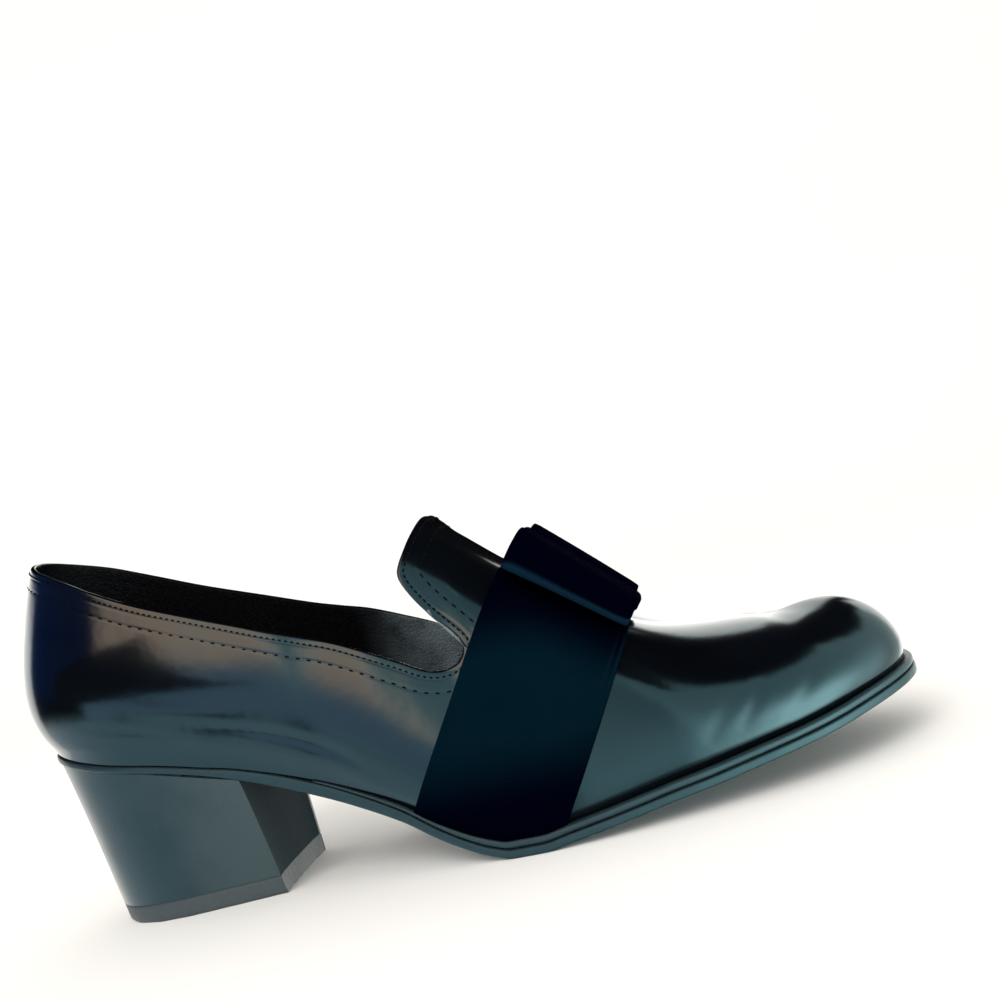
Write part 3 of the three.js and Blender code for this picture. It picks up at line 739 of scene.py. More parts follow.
def wovenRibbon(name="wovenRibbon", paintFoldHighlight=False):
    finish = Finish(name)
    uv = finish.node("ShaderNodeTexCoord", output="UV")
    ribs = finish.node("ShaderNodeTexWave", {"wave_type": "BANDS", "bands_direction": "Y"}, output="Fac",
                       Vector=uv, Scale=0.62, Distortion=0.6, Detail=1.0)
    threads = finish.node("ShaderNodeTexWave", {"wave_type": "BANDS", "bands_direction": "X"}, output="Fac",
                          Vector=uv, Scale=0.5, Distortion=0.8, Detail=1.0)
    speck = finish.noise(0.00045, detail=3)
    patch = finish.noise(0.03, detail=5, roughness=0.6)
    height = finish.node("ShaderNodeSeparateXYZ", output="Z", Vector=finish.place)
    faceNormal = finish.node("ShaderNodeNewGeometry", output="Normal")
    facing = finish.node("ShaderNodeSeparateXYZ", output="Z", Vector=faceNormal)
    # painted light and shade: the ribbon is painted lighter between the lit heights, then darker above the dark heights
    # and where its face looks up
    paintedLight = finish.ramp(height, *ribbon["litHeights"]) * (1 - finish.ramp(height, *ribbon["paintedShadeHeights"]))
    paintedLight = paintedLight * (1 - finish.ramp(facing, *ribbon["paintedShadeFacing"]))
    # on the bow, a painted highlight instead, on faces that look downward, as along the loops' lower folds
    if paintFoldHighlight:
        paintedLight = (1 - finish.ramp(facing, *ribbon["paintedFoldFacing"])) * ribbon["paintedFoldPower"]
    # the painted light, broken up by random patches, plus random light specks of the weave
    paintedLightAndSpeck = paintedLight * (0.45 + patch * 0.7) + finish.ramp(speck, 0.62, 0.8) * 0.12
    weave = ribs * 0.6 + threads * 0.35 + speck * 0.7
    return finish.shade(**{
        "Base_Color": finish.mix(paintedLightAndSpeck, ribbon["colour"], ribbon["paintedFoldHighlight"] if paintFoldHighlight else ribbon["lift"]),
        "Roughness": ribbon["roughness"] + speck * 0.2,
        "Normal": finish.bump(weave, 0.00011, 0.8),
        "Specular_IOR_Level": 0.015, "IOR": 1.03,
    })


def blackThread():
    finish = Finish("blackThread")
    ply = finish.noise(0.00025, detail=2)
    return finish.shade(**{
        "Base_Color": finish.mix(ply, (0.0006, 0.0006, 0.0008), (0.0014, 0.0014, 0.0018)),
        "Roughness": 0.75 + ply * 0.2, "Normal": finish.bump(ply, 0.0001, 0.6), "Specular_IOR_Level": 0.08,
    })


def footbedLeather():
    finish = Finish("footbedLeather")
    grain = finish.noise(0.0007, detail=3)
    wearAndPaintedLight = finish.noise(0.02, detail=3)
    return finish.shade(**{
        "Base_Color": finish.mix(wearAndPaintedLight, (0.012, 0.012, 0.013), (0.022, 0.022, 0.023)),
        "Roughness": 0.45 + grain * 0.2, "Normal": finish.bump(grain, 0.00012, 0.6),
    })


finishes = {
    "polish": polishedLeather(), "lining": liningLeather(), "heel": satinLeather(),
    "sole": paintedEdge("paintedSoleEdge", 0.0), "welt": paintedEdge("paintedWelt", 0.008),
    "rubber": blackRubber(), "ribbon": wovenRibbon(), "bow": wovenRibbon("bowRibbon", True),
    "breast": heelBreast(), "thread": blackThread(), "footbed": footbedLeather(),
}
print("scene: materials ready")


# Places a finished piece on the shoe: hides its solids and hangs it on its body
def settle(piece, slotName, *nodes):
    if nodes:
        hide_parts(*nodes)
    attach(piece, "root")
    return piece


# Creases worn into the leather, as lines in the side view: points (along, up), depth and width in millimetres
creases = [
    {"line": ((-14, 60), (-6, 57.5), (4, 54), (14.5, 49.6)), "depth": 0.34, "width": 1.0, "side": -1},
    {"line": ((-20, 57.5), (-10, 54.6), (6.5, 49.4), (22.8, 43.6), (40, 37.6)),
     "depth": 0.42, "width": 1.4, "side": -1},
    {"line": ((16, 53), (30, 49), (44.7, 43.2), (56, 36.4), (64, 29)), "depth": 0.4, "width": 1.5, "side": -1},
    {"line": ((30, 44.6), (42.7, 39.2), (55.5, 32.8), (66, 25.4)), "depth": -0.3, "width": 1.9, "side": -1},
    {"line": ((0, 62), (16, 57), (34, 51.5)), "depth": -0.22, "width": 2.4, "side": -1},
    {"line": ((161, 17), (166, 22), (171, 28)), "depth": 0.2, "width": 1.7, "side": -1},
    {"line": ((152, 16), (157, 21), (163, 26.5)), "depth": 0.16, "width": 2.1, "side": -1},
    {"line": ((174, 16), (180, 22), (185.5, 27.5)), "depth": 0.18, "width": 1.9, "side": -1},
    {"line": ((176.5, 40.2), (180.5, 37.8), (184, 34)), "depth": 0.3, "width": 2.0, "side": -1},
    {"line": ((183, 41), (187, 38.4), (191, 35)), "depth": -0.16, "width": 2.4, "side": -1},
    {"line": ((150, 46), (158, 42), (168, 38)), "depth": 0.08, "width": 2.6, "side": -1},
    {"line": ((150, 30), (160, 34), (170, 37)), "depth": 0.14, "width": 2.2, "side": 1},
    {"line": ((158, 24), (168, 29), (178, 32)), "depth": 0.12, "width": 2.0, "side": 1},
    {"line": ((10, 56), (24, 50), (38, 42)), "depth": 0.14, "width": 1.6, "side": 1},
]


# Height of the creases over the skin, soft across and fading at their ends
def creaseRelief(points):
    total = np.zeros(points.shape[:-1])
    for crease in creases:
        line = throughRows(np.array(crease["line"], float), 60)
        share = np.linspace(0, 1, 60)
        pick = (points[..., 1] < 0) if crease["side"] < 0 else (points[..., 1] >= 0)
        near = pick & (points[..., 0] > line[:, 0].min() - 9) & (points[..., 0] < line[:, 0].max() + 9)
        spots = points[near][:, (0, 2)]
        gaps = np.linalg.norm(spots[:, None] - line[None], axis=-1)
        closest = gaps.argmin(1)
        fade = np.sin(np.pi * np.clip(share[closest], 0.02, 0.98)) ** 0.7
        total[near] -= crease["depth"] * fade * np.exp(-(gaps.min(1) / crease["width"]) ** 2)
    return total


# The upper: outer leather, rolled edge and lining in one closed sheet
def buildUpper():
    wall = upperLook["wall"]
    at = (1 - np.cos(skinTurn)) / 2
    rise = skin[..., 2] - featherZ(at)
    relief = waves(skin, 60, 4) * 0.1 + waves(skin, 24, 9) * 0.025
    relief -= upperLook["tuck"] * marginPart(at) * np.exp(-np.maximum(rise, 0) / 1.6)
    relief -= 0.06 * np.exp(-((fromEdge - 1.9) / 0.35) ** 2)
    relief -= 0.04 * np.exp(-((fromEdge - 6.0) / 0.4) ** 2)
    relief += creaseRelief(skin)
    outer = skin + normals * relief[..., None]
    along = outer[-1] - outer[-3]
    along /= np.linalg.norm(along, axis=-1, keepdims=True)
    edgeNormal = normals[-3]
    outer = outer - smoothStep(6, 0, fromEdge)[..., None] * along * (wall / 2)
    rim = []
    for angle in np.linspace(0, math.pi, 9)[1:-1]:
        inset = edgeNormal * (wall / 2) * (1 - math.cos(angle))
        rim.append(outer[-1] - inset + along * (wall / 2) * math.sin(angle))
    pickRows = np.unique(np.linspace(0, skin.shape[0] - 1, upperLook["innerRows"]).astype(int))[::-1]
    inner = outer[pickRows] - normals[pickRows] * wall
    inner[0] = outer[-1] - edgeNormal * wall
    foot = outer[:1] - np.array([0, 0, 0.25])
    innerFoot = inner[-1:] - np.array([0, 0, 0.25])
    rings = np.concatenate([foot, outer, np.array(rim), inner, innerFoot, foot])
    count = len(rings) - 1
    columns = rings.shape[1]
    faces = gridFaces(count, columns, closed=True)
    closing = gridFaces(2, columns, start=0, closed=True)
    closing = np.where(closing < columns, closing + (count - 1) * columns, closing - columns)
    faces = np.concatenate([faces, closing])
    ringOf = np.arange(count).repeat(columns)
    picks = np.where((ringOf > skin.shape[0] + 5), 1, 0)
    looks = [finishes["polish"], finishes["lining"]]
    piece = addMesh("upperLeather", rings[:-1].reshape(-1, 3), faces, looks, picks)
    return settle(piece, "upper_leather", "upper")


buildUpper()
print("scene: upper built")


# A plate between closed rings that follow the outline: the side comes from the rings, the ends are ruled across
def plateMesh(name, rings, across, bulge, materials):
    rings = np.asarray(rings)
    count = rings.shape[1]
    half = count // 2
    points = [rings.reshape(-1, 3)]
    faces = [gridFaces(len(rings), count, closed=True)]
    start = rings.shape[0] * count
    for ring, flip, lift in ((rings[-1], False, bulge), (rings[0], True, 0.0)):
        near, far = ring[:half], ring[::-1][:half]
        t = np.linspace(0, 1, across)[:, None, None]
        cap = near + (far - near) * t
        cap[..., 2] += lift * (4 * t * (1 - t))[..., 0]
        points.append(cap.reshape(-1, 3))
        faces.append(gridFaces(across, half, start=start, flip=flip))
        start += across * half
    piece = addMesh(name, np.concatenate(points), np.concatenate(faces), materials)
    mergePoints(piece)
    return piece


def mergePoints(piece):
    work = bmesh.new()
    work.from_mesh(piece.data)
    bmesh.ops.remove_doubles(work, verts=work.verts, dist=2e-6)
    bmesh.ops.recalc_face_normals(work, faces=work.faces)
    work.to_mesh(piece.data)
    work.free()


soleTurns = np.array([2 * math.pi * (i + 0.5) / 480 for i in range(480)])


def soleRing(inset, heightOf, wobble=0.0):
    spot = insetPoint(soleTurns, inset)
    z = heightOf(shareOf(spot[:, 0])) + wobble
    return np.column_stack([spot, z])


def buildOutsole():
    edge = 0.5
    rough = waves(np.column_stack([outlinePoint(soleTurns), soleTurns * 0]), 7, 3) * 0.04
    rings = []
    for angle in np.linspace(0, math.pi / 2, 5):
        rings.append(soleRing(edge * (1 - math.sin(angle)) + rough * 0.5 + 0.05,
                              lambda a, k=edge * (1 - math.cos(angle)): undersideZ(a) + k))
    for share in (0.35, 0.5, 0.65):
        rings.append(soleRing(0.02 + rough, lambda a, s=share: undersideZ(a) + (outsoleTopZ(a) - undersideZ(a)) * s))
    for angle in np.linspace(math.pi / 2, 0, 5):
        rings.append(soleRing(edge * (1 - math.sin(angle)) + rough * 0.5 + 0.05,
                              lambda a, k=edge * (1 - math.cos(angle)): outsoleTopZ(a) - k))
    piece = plateMesh("leatherSole", rings, 26, 0.0, [finishes["sole"]])
    return settle(piece, "sole_edge", "outsole")


# The welt: a rounded strip on the sole's top, from waist to waist round the toe
def buildWelt():
    turns = soleTurns[(1 - np.cos(soleTurns)) / 2 > 0.325]
    turns = np.linspace(turns[0], turns[-1], 420)
    at = (1 - np.cos(turns)) / 2
    outer = insetPoint(turns, 0.3)
    inner = insetPoint(turns, marginAt(at) + 1.5)
    low = outsoleTopZ(shareOf(outer[:, 0])) + 0.2
    high = featherZ(shareOf(outer[:, 0])) - 0.1
    thick = np.maximum(high - low, 0.12)
    radius = np.minimum(thick / 2, 0.75)
    side = (outer - inner) / np.linalg.norm(outer - inner, axis=1, keepdims=True)
    columns = []
    for angle in np.linspace(-math.pi / 2, math.pi / 2, 9):
        spot = outer + side * (radius * (math.cos(angle) - 1))[:, None]
        z = (low + high) / 2 + (thick / 2 - radius) * np.sign(round(math.sin(angle), 6)) + radius * math.sin(angle)
        columns.append(np.column_stack([spot, z]))
    innerHigh = featherZ(shareOf(inner[:, 0])) - 0.1
    innerLow = outsoleTopZ(shareOf(inner[:, 0])) + 0.25
    columns.append(np.column_stack([inner, np.maximum(innerHigh, innerLow + 0.1)]))
    columns.append(np.column_stack([inner, innerLow]))
    grid = np.stack(columns, 1)
    rows, around = grid.shape[:2]
    faces = gridFaces(rows, around, closed=True).tolist()
    faces.append(list(range(around)))
    faces.append(list(range((rows - 1) * around, rows * around))[::-1])
    piece = addMesh("welt_strip", grid.reshape(-1, 3), faces, [finishes["welt"]])
    mergePoints(piece)
    return settle(piece, "welt_edge", "welt")


heel = {
    "baseLength": 57.0, "baseWidth": 41.0, "breastShare": 0.246, "topPiece": 5.5,
    "curve": 0.9, "corner": 0.7, "breastHollow": 0.7,
}


# A point on the heel's side, from its turn round the seat and its height above the floor
def heelPoint(turn, share, low, inset=0.0, fixed=None):
    seat = insetPoint(turn, last["seatMargin"] + inset)
    seatZ = undersideZ(shareOf(seat[:, 0])) - 0.15
    along = (seat[:, 0] - last["soleBack"]) / (heel["breastShare"] * last["soleLength"])
    seatHalf = last["ballWidth"] * lateralWidth(heel["breastShare"]) - last["seatMargin"]
    base = np.column_stack([
        heel["baseLength"] * (along - 0.5), seat[:, 1] * heel["baseWidth"] / 2 / seatHalf,
    ])
    height = low + (seatZ - low) * share if fixed is None else np.full(len(turn), fixed)
    taper = ((1 - height / seatZ).clip(0, 1) ** heel["curve"])[:, None]
    return np.column_stack([seat + (base - seat) * taper, height])


def heelRing(share, low, inset=0.0, fixed=None):
    seatTurn = math.acos(1 - 2 * heel["breastShare"])
    ring = heelPoint(np.linspace(-seatTurn, seatTurn, 150), share, low, inset, fixed)
    a, b = ring[-1], ring[0]
    t = np.linspace(0, 1, 42)[1:-1]
    breast = a + (b - a) * t[:, None]
    breast[:, 0] -= heel["breastHollow"] * (1 - (2 * t - 1) ** 4)
    return np.concatenate([ring, breast])


def heelMesh(name, rings, materials):
    count = rings[0].shape[0]
    faces = gridFaces(len(rings), count, closed=True).tolist()
    faces.append(list(range(count))[::-1])
    faces.append(list(range((len(rings) - 1) * count, len(rings) * count)))
    column = np.tile(np.arange(count), len(rings) - 1)
    picks = np.append(np.where((column >= 149) & (column < count - 1), len(materials) - 1, 0), (0, 0))
    piece = addMesh(name, np.concatenate(rings), faces, materials, picks)
    mergePoints(piece)
    sharpen(piece, 42)
    return piece


# Keeps edges sharper than the given angle crisp
def sharpen(piece, degrees):
    piece.data.set_sharp_from_angle(angle=math.radians(degrees))


def buildHeel():
    foot = heel["topPiece"]
    rings = [heelRing(share, foot) for share in np.linspace(0, 1, 26)]
    settle(heelMesh("heelCover", rings, [finishes["heel"], finishes["breast"]]), "heel_leather", "heel_block")
    rim = waves(heelRing(0, 0, fixed=0.0), 5, 21)[:, None] * np.array([[0.12, 0.12, 0]])
    low = heelRing(0, 0, 0.55, fixed=0.0) + rim
    lowSide = heelRing(0, 0, 0.15, fixed=0.35) + rim * 0.6
    rings = [low, lowSide] + [heelRing(0, 0, 0.05, fixed=z) for z in (1.2, 2.6, 4.2, 5.0)]
    rings.append(heelRing(0, 0, 0.4, fixed=5.4))
    settle(heelMesh("heelTopPiece", rings, [finishes["rubber"]]), "top_piece_rubber", "heel_top_piece")


def buildInsole():
    def ring(extra, heightOf):
        at = (1 - np.cos(soleTurns)) / 2
        reach = marginAt(at) + 2.0 + 3.5 * marginPart(at) + 0.5 + extra
        spot = insetPoint(soleTurns, reach)
        return np.column_stack([spot, heightOf(shareOf(spot[:, 0]))])
    top = lambda a: featherZ(a) + 3 - last["weltThickness"] * weltPart(a)
    rings = [
        ring(0.4, lambda a: outsoleTopZ(a) + 0.6), ring(0, lambda a: outsoleTopZ(a) + 1.0),
        ring(0, lambda a: top(a) - 0.5), ring(0.3, lambda a: top(a) - 0.1), ring(1.0, top),
    ]
    piece = plateMesh("footbed", rings, 30, -0.8, [finishes["footbed"]])
    return settle(piece, "footbed", "insole")


buildOutsole()
buildWelt()
buildHeel()
buildInsole()
print("scene: sole, heel and footbed built")


def lastNormal(turn, up, step=0.01):
    low = np.maximum(up, step)
    byTurn = lastPoint(turn + step, low) - lastPoint(turn - step, low)
    byUp = lastPoint(turn, low + step) - lastPoint(turn, low - step)
    outward = np.cross(byTurn, byUp)
    outward[..., 2] = np.where(up < step, 0, outward[..., 2])
    return outward / np.linalg.norm(outward, axis=-1, keepdims=True)


slope = math.radians(ribbon["slope"])
ribbonAlong = np.array([math.cos(slope), 0, -math.sin(slope)])
seatZ = float(featherZ(ribbon["seatShare"]) + last["instepHeight"] * spineRise(ribbon["seatShare"]))
bowSeat = np.array([placeX(ribbon["seatShare"]), 0, seatZ])


# Places on the last where the ribbon's cross lines run, from the lateral to the medial feather line
def bandGrid(offsets, ups):
    sides = []
    for side in (-1, 1):
        c, up = np.meshgrid(offsets, ups, indexing="ij")
        low, high = np.full(c.shape, 0.4), np.full(c.shape, math.pi - 0.02)
        for _ in range(34):
            mid = (low + high) / 2
            turn = mid if side < 0 else 2 * math.pi - mid
            ahead = (lastPoint(turn, up) - bowSeat) @ ribbonAlong > c
            high = np.where(ahead, mid, high)
            low = np.where(ahead, low, mid)
        turn = mid if side < 0 else 2 * math.pi - mid
        sides.append((turn, up))
    turn = np.concatenate([sides[0][0], sides[1][0][:, ::-1]], 1)
    up = np.concatenate([sides[0][1], sides[1][1][:, ::-1]], 1)
    return turn, up


# Length along each row of a grid of points
def rowLengths(points):
    steps = np.linalg.norm(np.diff(points, axis=1), axis=-1)
    return np.concatenate([np.zeros((len(points), 1)), np.cumsum(steps, 1)], 1)


# A sheet with thickness from a grid of outer points, its edges closed
def sheetMesh(name, outer, normalGrid, thickness, materials, uvs):
    rows, columns = outer.shape[:2]
    inner = outer - normalGrid * thickness
    points = np.concatenate([outer.reshape(-1, 3), inner.reshape(-1, 3)])
    faces = np.concatenate([
        gridFaces(rows, columns, flip=True), gridFaces(rows, columns, start=rows * columns),
    ]).tolist()
    border = [(0, j) for j in range(columns)] + [(i, columns - 1) for i in range(1, rows)]
    border += [(rows - 1, j) for j in range(columns - 2, -1, -1)] + [(i, 0) for i in range(rows - 2, 0, -1)]
    index = [i * columns + j for i, j in border]
    for k, a in enumerate(index):
        b = index[(k + 1) % len(index)]
        faces.append((b, a, a + rows * columns, b + rows * columns))
    piece = addMesh(name, points, faces, materials, uvs=np.concatenate([uvs, uvs]))
    mergePoints(piece)
    return piece


def buildBand():
    half = ribbon["width"] / 2
    offsets = half * np.sin(np.linspace(-math.pi / 2, math.pi / 2, 64))
    ups = np.linspace(0.0, math.pi / 2 - 0.004, 110)
    turn, up = bandGrid(offsets, ups)
    base = lastPoint(turn, up)
    normal = lastNormal(turn, up)
    length = rowLengths(base)
    crossing = np.broadcast_to(offsets[:, None] / half, length.shape)
    edgeDrop = 0.35 * np.abs(crossing) ** 24
    pucker = waves(np.stack([length, crossing * 6, length * 0], -1), 17, 31) * 0.05
    seamDip = 0.16 * np.exp(-((np.abs(np.abs(crossing) * half - (half - 1.7))) / 0.35) ** 2)
    lift = ribbon["gap"] + ribbon["thickness"] - edgeDrop + pucker - seamDip
    outer = base + normal * lift[..., None]
    uvs = np.stack([length, crossing * half], -1).reshape(-1, 2)
    piece = sheetMesh("instepRibbon", outer, normal, ribbon["thickness"] - 0.1, [finishes["ribbon"]], uvs)
    return settle(piece, "ribbon", "instep_band")


bow = {
    "slope": 41.0, "width": 37.0, "span": 62.0, "height": 12.0, "taper": 0.3, "frontLift": 2.5,
    "thickness": 1.1, "knotWidth": 14.0, "knotHeight": 10.9, "knotLift": 0.95, "lift": 1.6,
}
loopRows = np.array([
    (0.05, 0.225), (0.28, 0.22), (0.5, 0.06), (0.74, -0.03), (0.92, 0.03), (1.0, 0.3),
    (0.99, 0.62), (0.88, 0.9), (0.68, 1.0), (0.45, 0.95), (0.24, 0.74), (0.05, 0.68),
])


def closedCurve(rows, count):
    t = np.linspace(0, len(rows), count, endpoint=False)
    i = t.astype(int)
    f = (t - i)[:, None]
    a, b, c, d = (rows[(i + k) % len(rows)] for k in (-1, 0, 1, 2))
    return 0.5 * (2 * b + (c - a) * f + (2 * a - 5 * b + 4 * c - d) * f ** 2 + (3 * b - a - 3 * c + d) * f ** 3)


# From the bow's own frame (across, out, along the foot) to the shoe
def setBow(points):
    turn = math.radians(bow["slope"])
    along = np.array([math.cos(turn), 0, -math.sin(turn)])
    out = np.array([math.sin(turn), 0, math.cos(turn)])
    forward = 0.5 + points[..., 2] / bow["width"]
    up = points[..., 1]
    middle = 1 - (2 * points[..., 0] / bow["span"]) ** 2
    raised = up * (1 - bow["taper"] * forward) + bow["frontLift"] * forward * middle * (1 - up / bow["knotHeight"])
    across = np.array([0, 1.0, 0])
    return (bowSeat + points[..., :1] * across + (raised + bow["lift"])[..., None] * out
            + points[..., 2:] * along)


# A ribbon closed into a ring, from the grids of its two faces
def foldedRibbon(name, node, outer, inner, uvs, flip=False):
    rows, count = outer.shape[:2]
    second = rows * count
    faces = [gridFaces(rows, count, closed=True, flip=flip),
             gridFaces(rows, count, start=second, closed=True, flip=not flip)]
    for row in (0, rows - 1):
        a = row * count + np.arange(count)
        b = row * count + (np.arange(count) + 1) % count
        faces.append(np.stack([a, b, b + second, a + second], -1))
    points = np.concatenate([outer.reshape(-1, 3), inner.reshape(-1, 3)])
    piece = addMesh(name, points, np.concatenate(faces), [finishes["bow"]], uvs=np.concatenate([uvs, uvs]))
    mergePoints(piece)
    return settle(piece, "bow_ribbon", node)


def buildLoop(side, name, node):
    half = bow["span"] / 2
    line = closedCurve(loopRows * np.array([half, bow["height"]]), 150)
    along = np.roll(line, -1, 0) - np.roll(line, 1, 0)
    along /= np.linalg.norm(along, axis=1, keepdims=True)
    inward = np.column_stack([-along[:, 1], along[:, 0]])
    places = bow["width"] / 2 * np.sin(np.linspace(-math.pi / 2, math.pi / 2, 42))
    rings = []
    for place in places:
        edgeShare = abs(place) / (bow["width"] / 2)
        soft = 0.25 * np.sin(line[:, 0] * 0.32 + place * 0.12) * (line[:, 0] / half)
        ring = line + inward * (0.3 * edgeShare ** 20) + np.column_stack([line[:, 0] * 0, soft * 0.6])
        rings.append(np.column_stack([ring, np.full(len(ring), place)]))
    outerGrid = np.array(rings)
    innerGrid = outerGrid.copy()
    innerGrid[..., :2] += inward * bow["thickness"]
    for grid in (outerGrid, innerGrid):
        grid[..., 0] *= side
    outer, inner = setBow(outerGrid), setBow(innerGrid)
    uvs = np.stack([rowLengths(outerGrid), outerGrid[..., 2]], -1).reshape(-1, 2)
    return foldedRibbon(name, node, outer, inner, uvs, flip=side < 0)


# Rounded rectangle in the plane along the foot, as (along, up)
def roundedRing(half, low, high, radius, count=16):
    ring = []
    for cx, cy, start in ((half - radius, high - radius, 0), (-half + radius, high - radius, 1),
                          (-half + radius, low + radius, 2), (half - radius, low + radius, 3)):
        for angle in np.linspace(start, start + 1, count) * math.pi / 2:
            ring.append((cx + radius * math.cos(angle), cy + radius * math.sin(angle)))
    return np.array(ring)


def buildKnot():
    half = bow["width"] / 2 + 0.3 + bow["thickness"] + 0.1
    outerLine = roundedRing(half, bow["knotLift"], bow["knotHeight"], 1.9)
    innerLine = roundedRing(half - bow["thickness"], bow["knotLift"] + bow["thickness"],
                            bow["knotHeight"] - bow["thickness"], 0.8)
    places = bow["knotWidth"] / 2 * np.sin(np.linspace(-math.pi / 2, math.pi / 2, 22))
    grids = []
    for line, offset in ((outerLine, 1), (innerLine, 0)):
        centre = line.mean(0)
        rings = []
        for place in places:
            share = abs(place) / (bow["knotWidth"] / 2)
            shrink = 0.25 * offset * share ** 12
            ring = line - np.sign(line - centre) * shrink
            rings.append(np.column_stack([np.full(len(ring), place), ring[:, 1], ring[:, 0]]))
        grids.append(np.array(rings))
    outer, inner = (setBow(grid) for grid in grids)
    length = rowLengths(np.stack([grids[0][..., 1], grids[0][..., 2]], -1))
    uvs = np.stack([length, grids[0][..., 0]], -1).reshape(-1, 2)
    return foldedRibbon("bowKnot", "bow_knot", outer, inner, uvs)


buildBand()
buildLoop(-1, "bowLoopLateral", "bow_loop_lateral")
buildLoop(1, "bowLoopMedial", "bow_loop_medial")
buildKnot()
print("scene: ribbon and bow built")

# Rows of stitches: distance from the edge, pitch, and the threads' length, radius and lift
stitching = {
    "edgeRow": 1.9, "edgePitch": 1.75, "edgeThread": (1.25, 0.27, 0.02),
    "lowRow": 6.0, "lowPitch": 3.1, "lowThread": (1.7, 0.25, 0.0),
}


# The line on the skin that keeps one distance from the opening's edge
def skinContour(distance):
    line, out = [], []
    for column in range(skin.shape[1]):
        d = fromEdge[::-1, column]
        k = int(np.argmax(d > distance))
        f = (distance - d[k - 1]) / (d[k] - d[k - 1])
        row = skin.shape[0] - 1 - k
        line.append(skin[row + 1, column] + (skin[row, column] - skin[row + 1, column]) * f)
        out.append(normals[row, column])
    return np.array(line + line[:1]), np.array(out + out[:1])


# Short threads laid along a line, each a tapered tube that dips at its ends
def stitchRow(line, out, pitch, length, radius, raised):
    reach = lineLengths(line)
    count = int(reach[-1] / pitch)
    around, rings = 6, 5
    points, faces = [], []
    for k in range(count):
        places = (k + 0.5) * pitch + np.linspace(-length / 2, length / 2, rings)
        spots = np.stack([np.interp(places, reach, line[:, a]) for a in range(3)], -1)
        up = np.stack([np.interp(places, reach, out[:, a]) for a in range(3)], -1)
        up /= np.linalg.norm(up, axis=1, keepdims=True)
        along = spots[-1] - spots[0]
        along /= np.linalg.norm(along)
        side = np.cross(along, up)
        start = len(points)
        for r in range(rings):
            t = 2 * r / (rings - 1) - 1
            size = radius * (1 - 0.45 * t * t)
            centre = spots[r] + up[r] * (raised - 0.3 * t * t)
            for a in np.linspace(0, 2 * math.pi, around, endpoint=False):
                points.append(centre + side[r] * size * math.cos(a) + up[r] * size * 0.8 * math.sin(a))
        for r in range(rings - 1):
            for a in range(around):
                b = (a + 1) % around
                i = start + r * around
                faces.append((i + a, i + b, i + around + b, i + around + a))
        faces.append(tuple(start + a for a in range(around))[::-1])
        faces.append(tuple(start + (rings - 1) * around + a for a in range(around)))
    return np.array(points), faces


def joinRows(name, rows, slotName):
    points, faces, start = [], [], 0
    for spots, rowFaces in rows:
        points.append(spots)
        faces += [tuple(i + start for i in face) for face in rowFaces]
        start += len(spots)
    piece = addMesh(name, np.concatenate(points), faces, [finishes["thread"]])
    return settle(piece, slotName)


def buildStitches():
    edgeLine, edgeOut = skinContour(stitching["edgeRow"])
    lowLine, lowOut = skinContour(stitching["lowRow"])
    rows = [stitchRow(edgeLine, edgeOut, stitching["edgePitch"], *stitching["edgeThread"])]
    rows.append(stitchRow(lowLine, lowOut, stitching["lowPitch"], *stitching["lowThread"]))
    joinRows("collarStitches", rows, "upper_leather")


buildStitches()
print("scene: stitches built")

# Floor, backdrop and soft studio light
studio = {
    "floor": (0.9, 0.87, 0.83),
    "floorReach": 5000.0,
    "ambient": (1.0, 1.0, 0.98),
    "ambientPower": 1.0,
    "aim": (0.09, 0.0, 0.04),
    "reach": 2.4,
    # soft lights as the shoe sees them: azimuths (0 is the camera's side, 90 the toe's), elevations, how soft
    # the two pairs of edges are, in degrees, colour and power
    "domeLights": {
        "side": ((-16, 17), (-36, 46), (8, 10), (0.8, 0.99, 1.0), 0.95),
        "sideLow": ((-16, 20), (-36, 16), (10, 50), (0.8, 0.98, 1.0), 0.95),
        "toe": ((15, 104), (-36, 54), (8, 6), (0.84, 1.0, 0.97), 1.45),
        "toeEnd": ((104, 131), (-34, 41), (6, 8), (0.84, 1.0, 0.97), 1.25),
        "toeLow": ((20, 92), (-38, 20), (30, 44), (0.9, 1.0, 0.95), 2.3),
        "keyLow": ((24, 68), (-38, 14), (24, 30), (1.0, 1.0, 0.93), 4.4),
        "ridge": ((131, 150), (-46, 35), (5, 8), (1.0, 0.97, 0.92), 2.6),
        "ridgeBack": ((150, 160), (-46, 21), (5, 8), (1.0, 0.97, 0.92), 2.6),
        "backdrop": ((160, 200), (-46, 47), (5, 8), (1.0, 0.97, 0.92), 2.6),
        "heelRim": ((-160, -103), (-46, 16), (6, 8), (1.0, 0.96, 0.9), 2.2),
        "heelLow": ((-102, -28), (-44, -9), (8, 9), (0.85, 0.95, 1.0), 1.55),
        "waist": ((-47, -16), (-9, 8.5), (8, 5), (0.72, 0.8, 1.0), 1.5),
        "warm": ((-30, -14), (8.5, 52), (5, 5), (1.0, 0.46, 0.31), 6.2),
        "heelHigh": ((-115, -30), (2, 60), (10, 10), (0.0, 0.2, 1.0), 0.2),
    },
    # black cards that keep the tongue and the back of the quarter dark: corners in millimetres
    "tongueRearCard": ((-20, 45, 75), (122, 45, 75), (122, 45, 260), (-20, 45, 260)),
    "heelCard": ((-220, -110, 60), (2, -110, 63), (-14, -110, 74), (-20, -110, 88), (-27, -110, 105),
                 (-220, -110, 112)),
    "tongueCard": ((78, -98, 128), (190, -110, 128), (170, 90, 128), (40, 170, 128)),
    "formLight": {"spot": (-0.4, -1.6, 1.5), "size": 1.4, "power": 26},
}


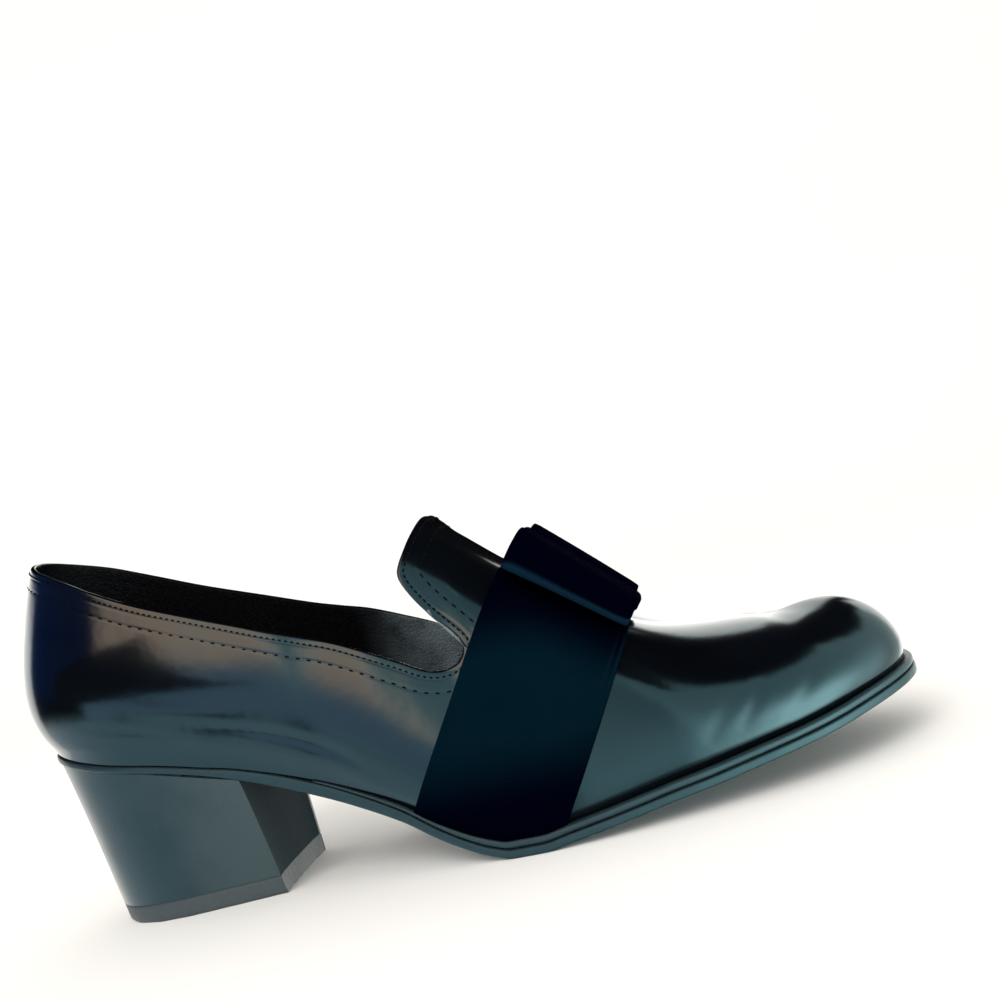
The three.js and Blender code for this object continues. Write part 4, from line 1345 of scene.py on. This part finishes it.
def paleFloor():
    finish = Finish("paleFloor")
    faint = finish.noise(0.3, detail=2)
    return finish.shade(**{
        "Base_Color": finish.mix(faint, studio["floor"], (0.92, 0.89, 0.86)), "Roughness": 0.85,
        "Specular_IOR_Level": 0.2,
    })


# A wide floor and a low curved backdrop behind the shoe
def buildStudio():
    finish = paleFloor()
    reach = studio["floorReach"]
    side = np.linspace(-reach, reach, 9)
    flat = np.array([[(x, y, 0) for x in side] for y in side])
    floor = addMesh("floor", flat.reshape(-1, 3), gridFaces(len(side), len(side)), [finish])
    floor.visible_glossy = False
    depth, cove, rise = 1350.0, 400.0, 1000.0
    line = [(depth - cove * (1 - math.sin(t)), cove * (1 - math.cos(t)) - 0.6) for t in np.linspace(0, math.pi / 2, 12)]
    line.append((depth, rise))
    rows = [[(x, y, z) for x in (-1100, 0, 1300)] for y, z in line]
    wall = addMesh("backdrop", np.array(rows).reshape(-1, 3), gridFaces(len(rows), 3), [finish])
    wall.visible_glossy = False
    world = bpy.data.worlds.new("studioWorld")
    world.use_nodes = True
    background = world.node_tree.nodes["Background"]
    background.inputs["Color"].default_value = (*studio["ambient"], 1)
    background.inputs["Strength"].default_value = studio["ambientPower"]
    world.cycles_visibility.glossy = False
    bpy.context.scene.world = world


# How much of a soft-edged light lies in a direction
def patchShare(value, span, soft):
    low, high = span
    rise = smoothStep(low - soft / 2, low + soft / 2, value)
    return rise * (1 - smoothStep(high - soft / 2, high + soft / 2, value))


# The studio's soft lights on one wide dome that only reflections see
def buildDome():
    azimuths = np.arange(-160.0, 200.0, 2.5)
    elevations = np.arange(-60.0, 89.0, 2.0)
    azimuth, elevation = np.meshgrid(azimuths, elevations)
    east, north = np.radians(azimuth), np.radians(elevation)
    points = np.stack([np.sin(east) * np.cos(north), -np.cos(east) * np.cos(north), np.sin(north)], -1)
    points = (points * studio["reach"] + np.array(studio["aim"])) / mm
    glow = np.zeros((*azimuth.shape, 3))
    for span, rise, (softAcross, softUp), colour, power in studio["domeLights"].values():
        share = patchShare(azimuth, span, softAcross) * patchShare(elevation, rise, softUp)
        if span[0] == azimuths[0]:
            wider = patchShare(azimuth, (span[0] - 20, span[1]), softAcross)
            share = np.maximum(share, wider * patchShare(elevation, rise, softUp))
        glow += share[..., None] * np.array(colour) * power
    finish = Finish("domeGlow")
    seen = finish.node("ShaderNodeAttribute", {"attribute_name": "glow"}, output="Color")
    material = finish.shade(**{
        "Base_Color": (0.0, 0.0, 0.0, 1.0), "Specular_IOR_Level": 0.0,
        "Emission_Color": seen, "Emission_Strength": 1.0,
    })
    material.cycles.emission_sampling = "NONE"
    rows, columns = azimuth.shape
    dome = addMesh("dome", points.reshape(-1, 3), gridFaces(rows, columns, closed=True), [material])
    layer = dome.data.color_attributes.new(name="glow", type="FLOAT_COLOR", domain="POINT")
    layer.data.foreach_set("color", np.concatenate([glow, np.ones((rows, columns, 1))], -1).ravel())
    dome.visible_camera = dome.visible_diffuse = dome.visible_shadow = dome.visible_transmission = False


# A black card that only reflections see
def addCard(name):
    card = addMesh(name, np.array(studio[name], float), [tuple(range(len(studio[name])))], [finishes["thread"]])
    card.visible_camera = card.visible_diffuse = card.visible_shadow = False


# A soft light that shapes the matt pieces and shows in no reflection
def addFormLight():
    plan = studio["formLight"]
    data = bpy.data.lights.new("formLight", "AREA")
    data.size, data.energy = plan["size"], plan["power"]
    light = bpy.data.objects.new("formLight", data)
    light.location = plan["spot"]
    light.rotation_euler = (Vector(studio["aim"]) - Vector(plan["spot"])).to_track_quat("-Z", "Y").to_euler()
    light.visible_camera = light.visible_glossy = False
    bpy.context.scene.collection.objects.link(light)


buildStudio()
buildDome()
for cardName in ("tongueCard", "tongueRearCard", "heelCard"):
    addCard(cardName)
addFormLight()
bpy.context.scene.view_settings.view_transform = "Standard"
print("scene: studio ready")
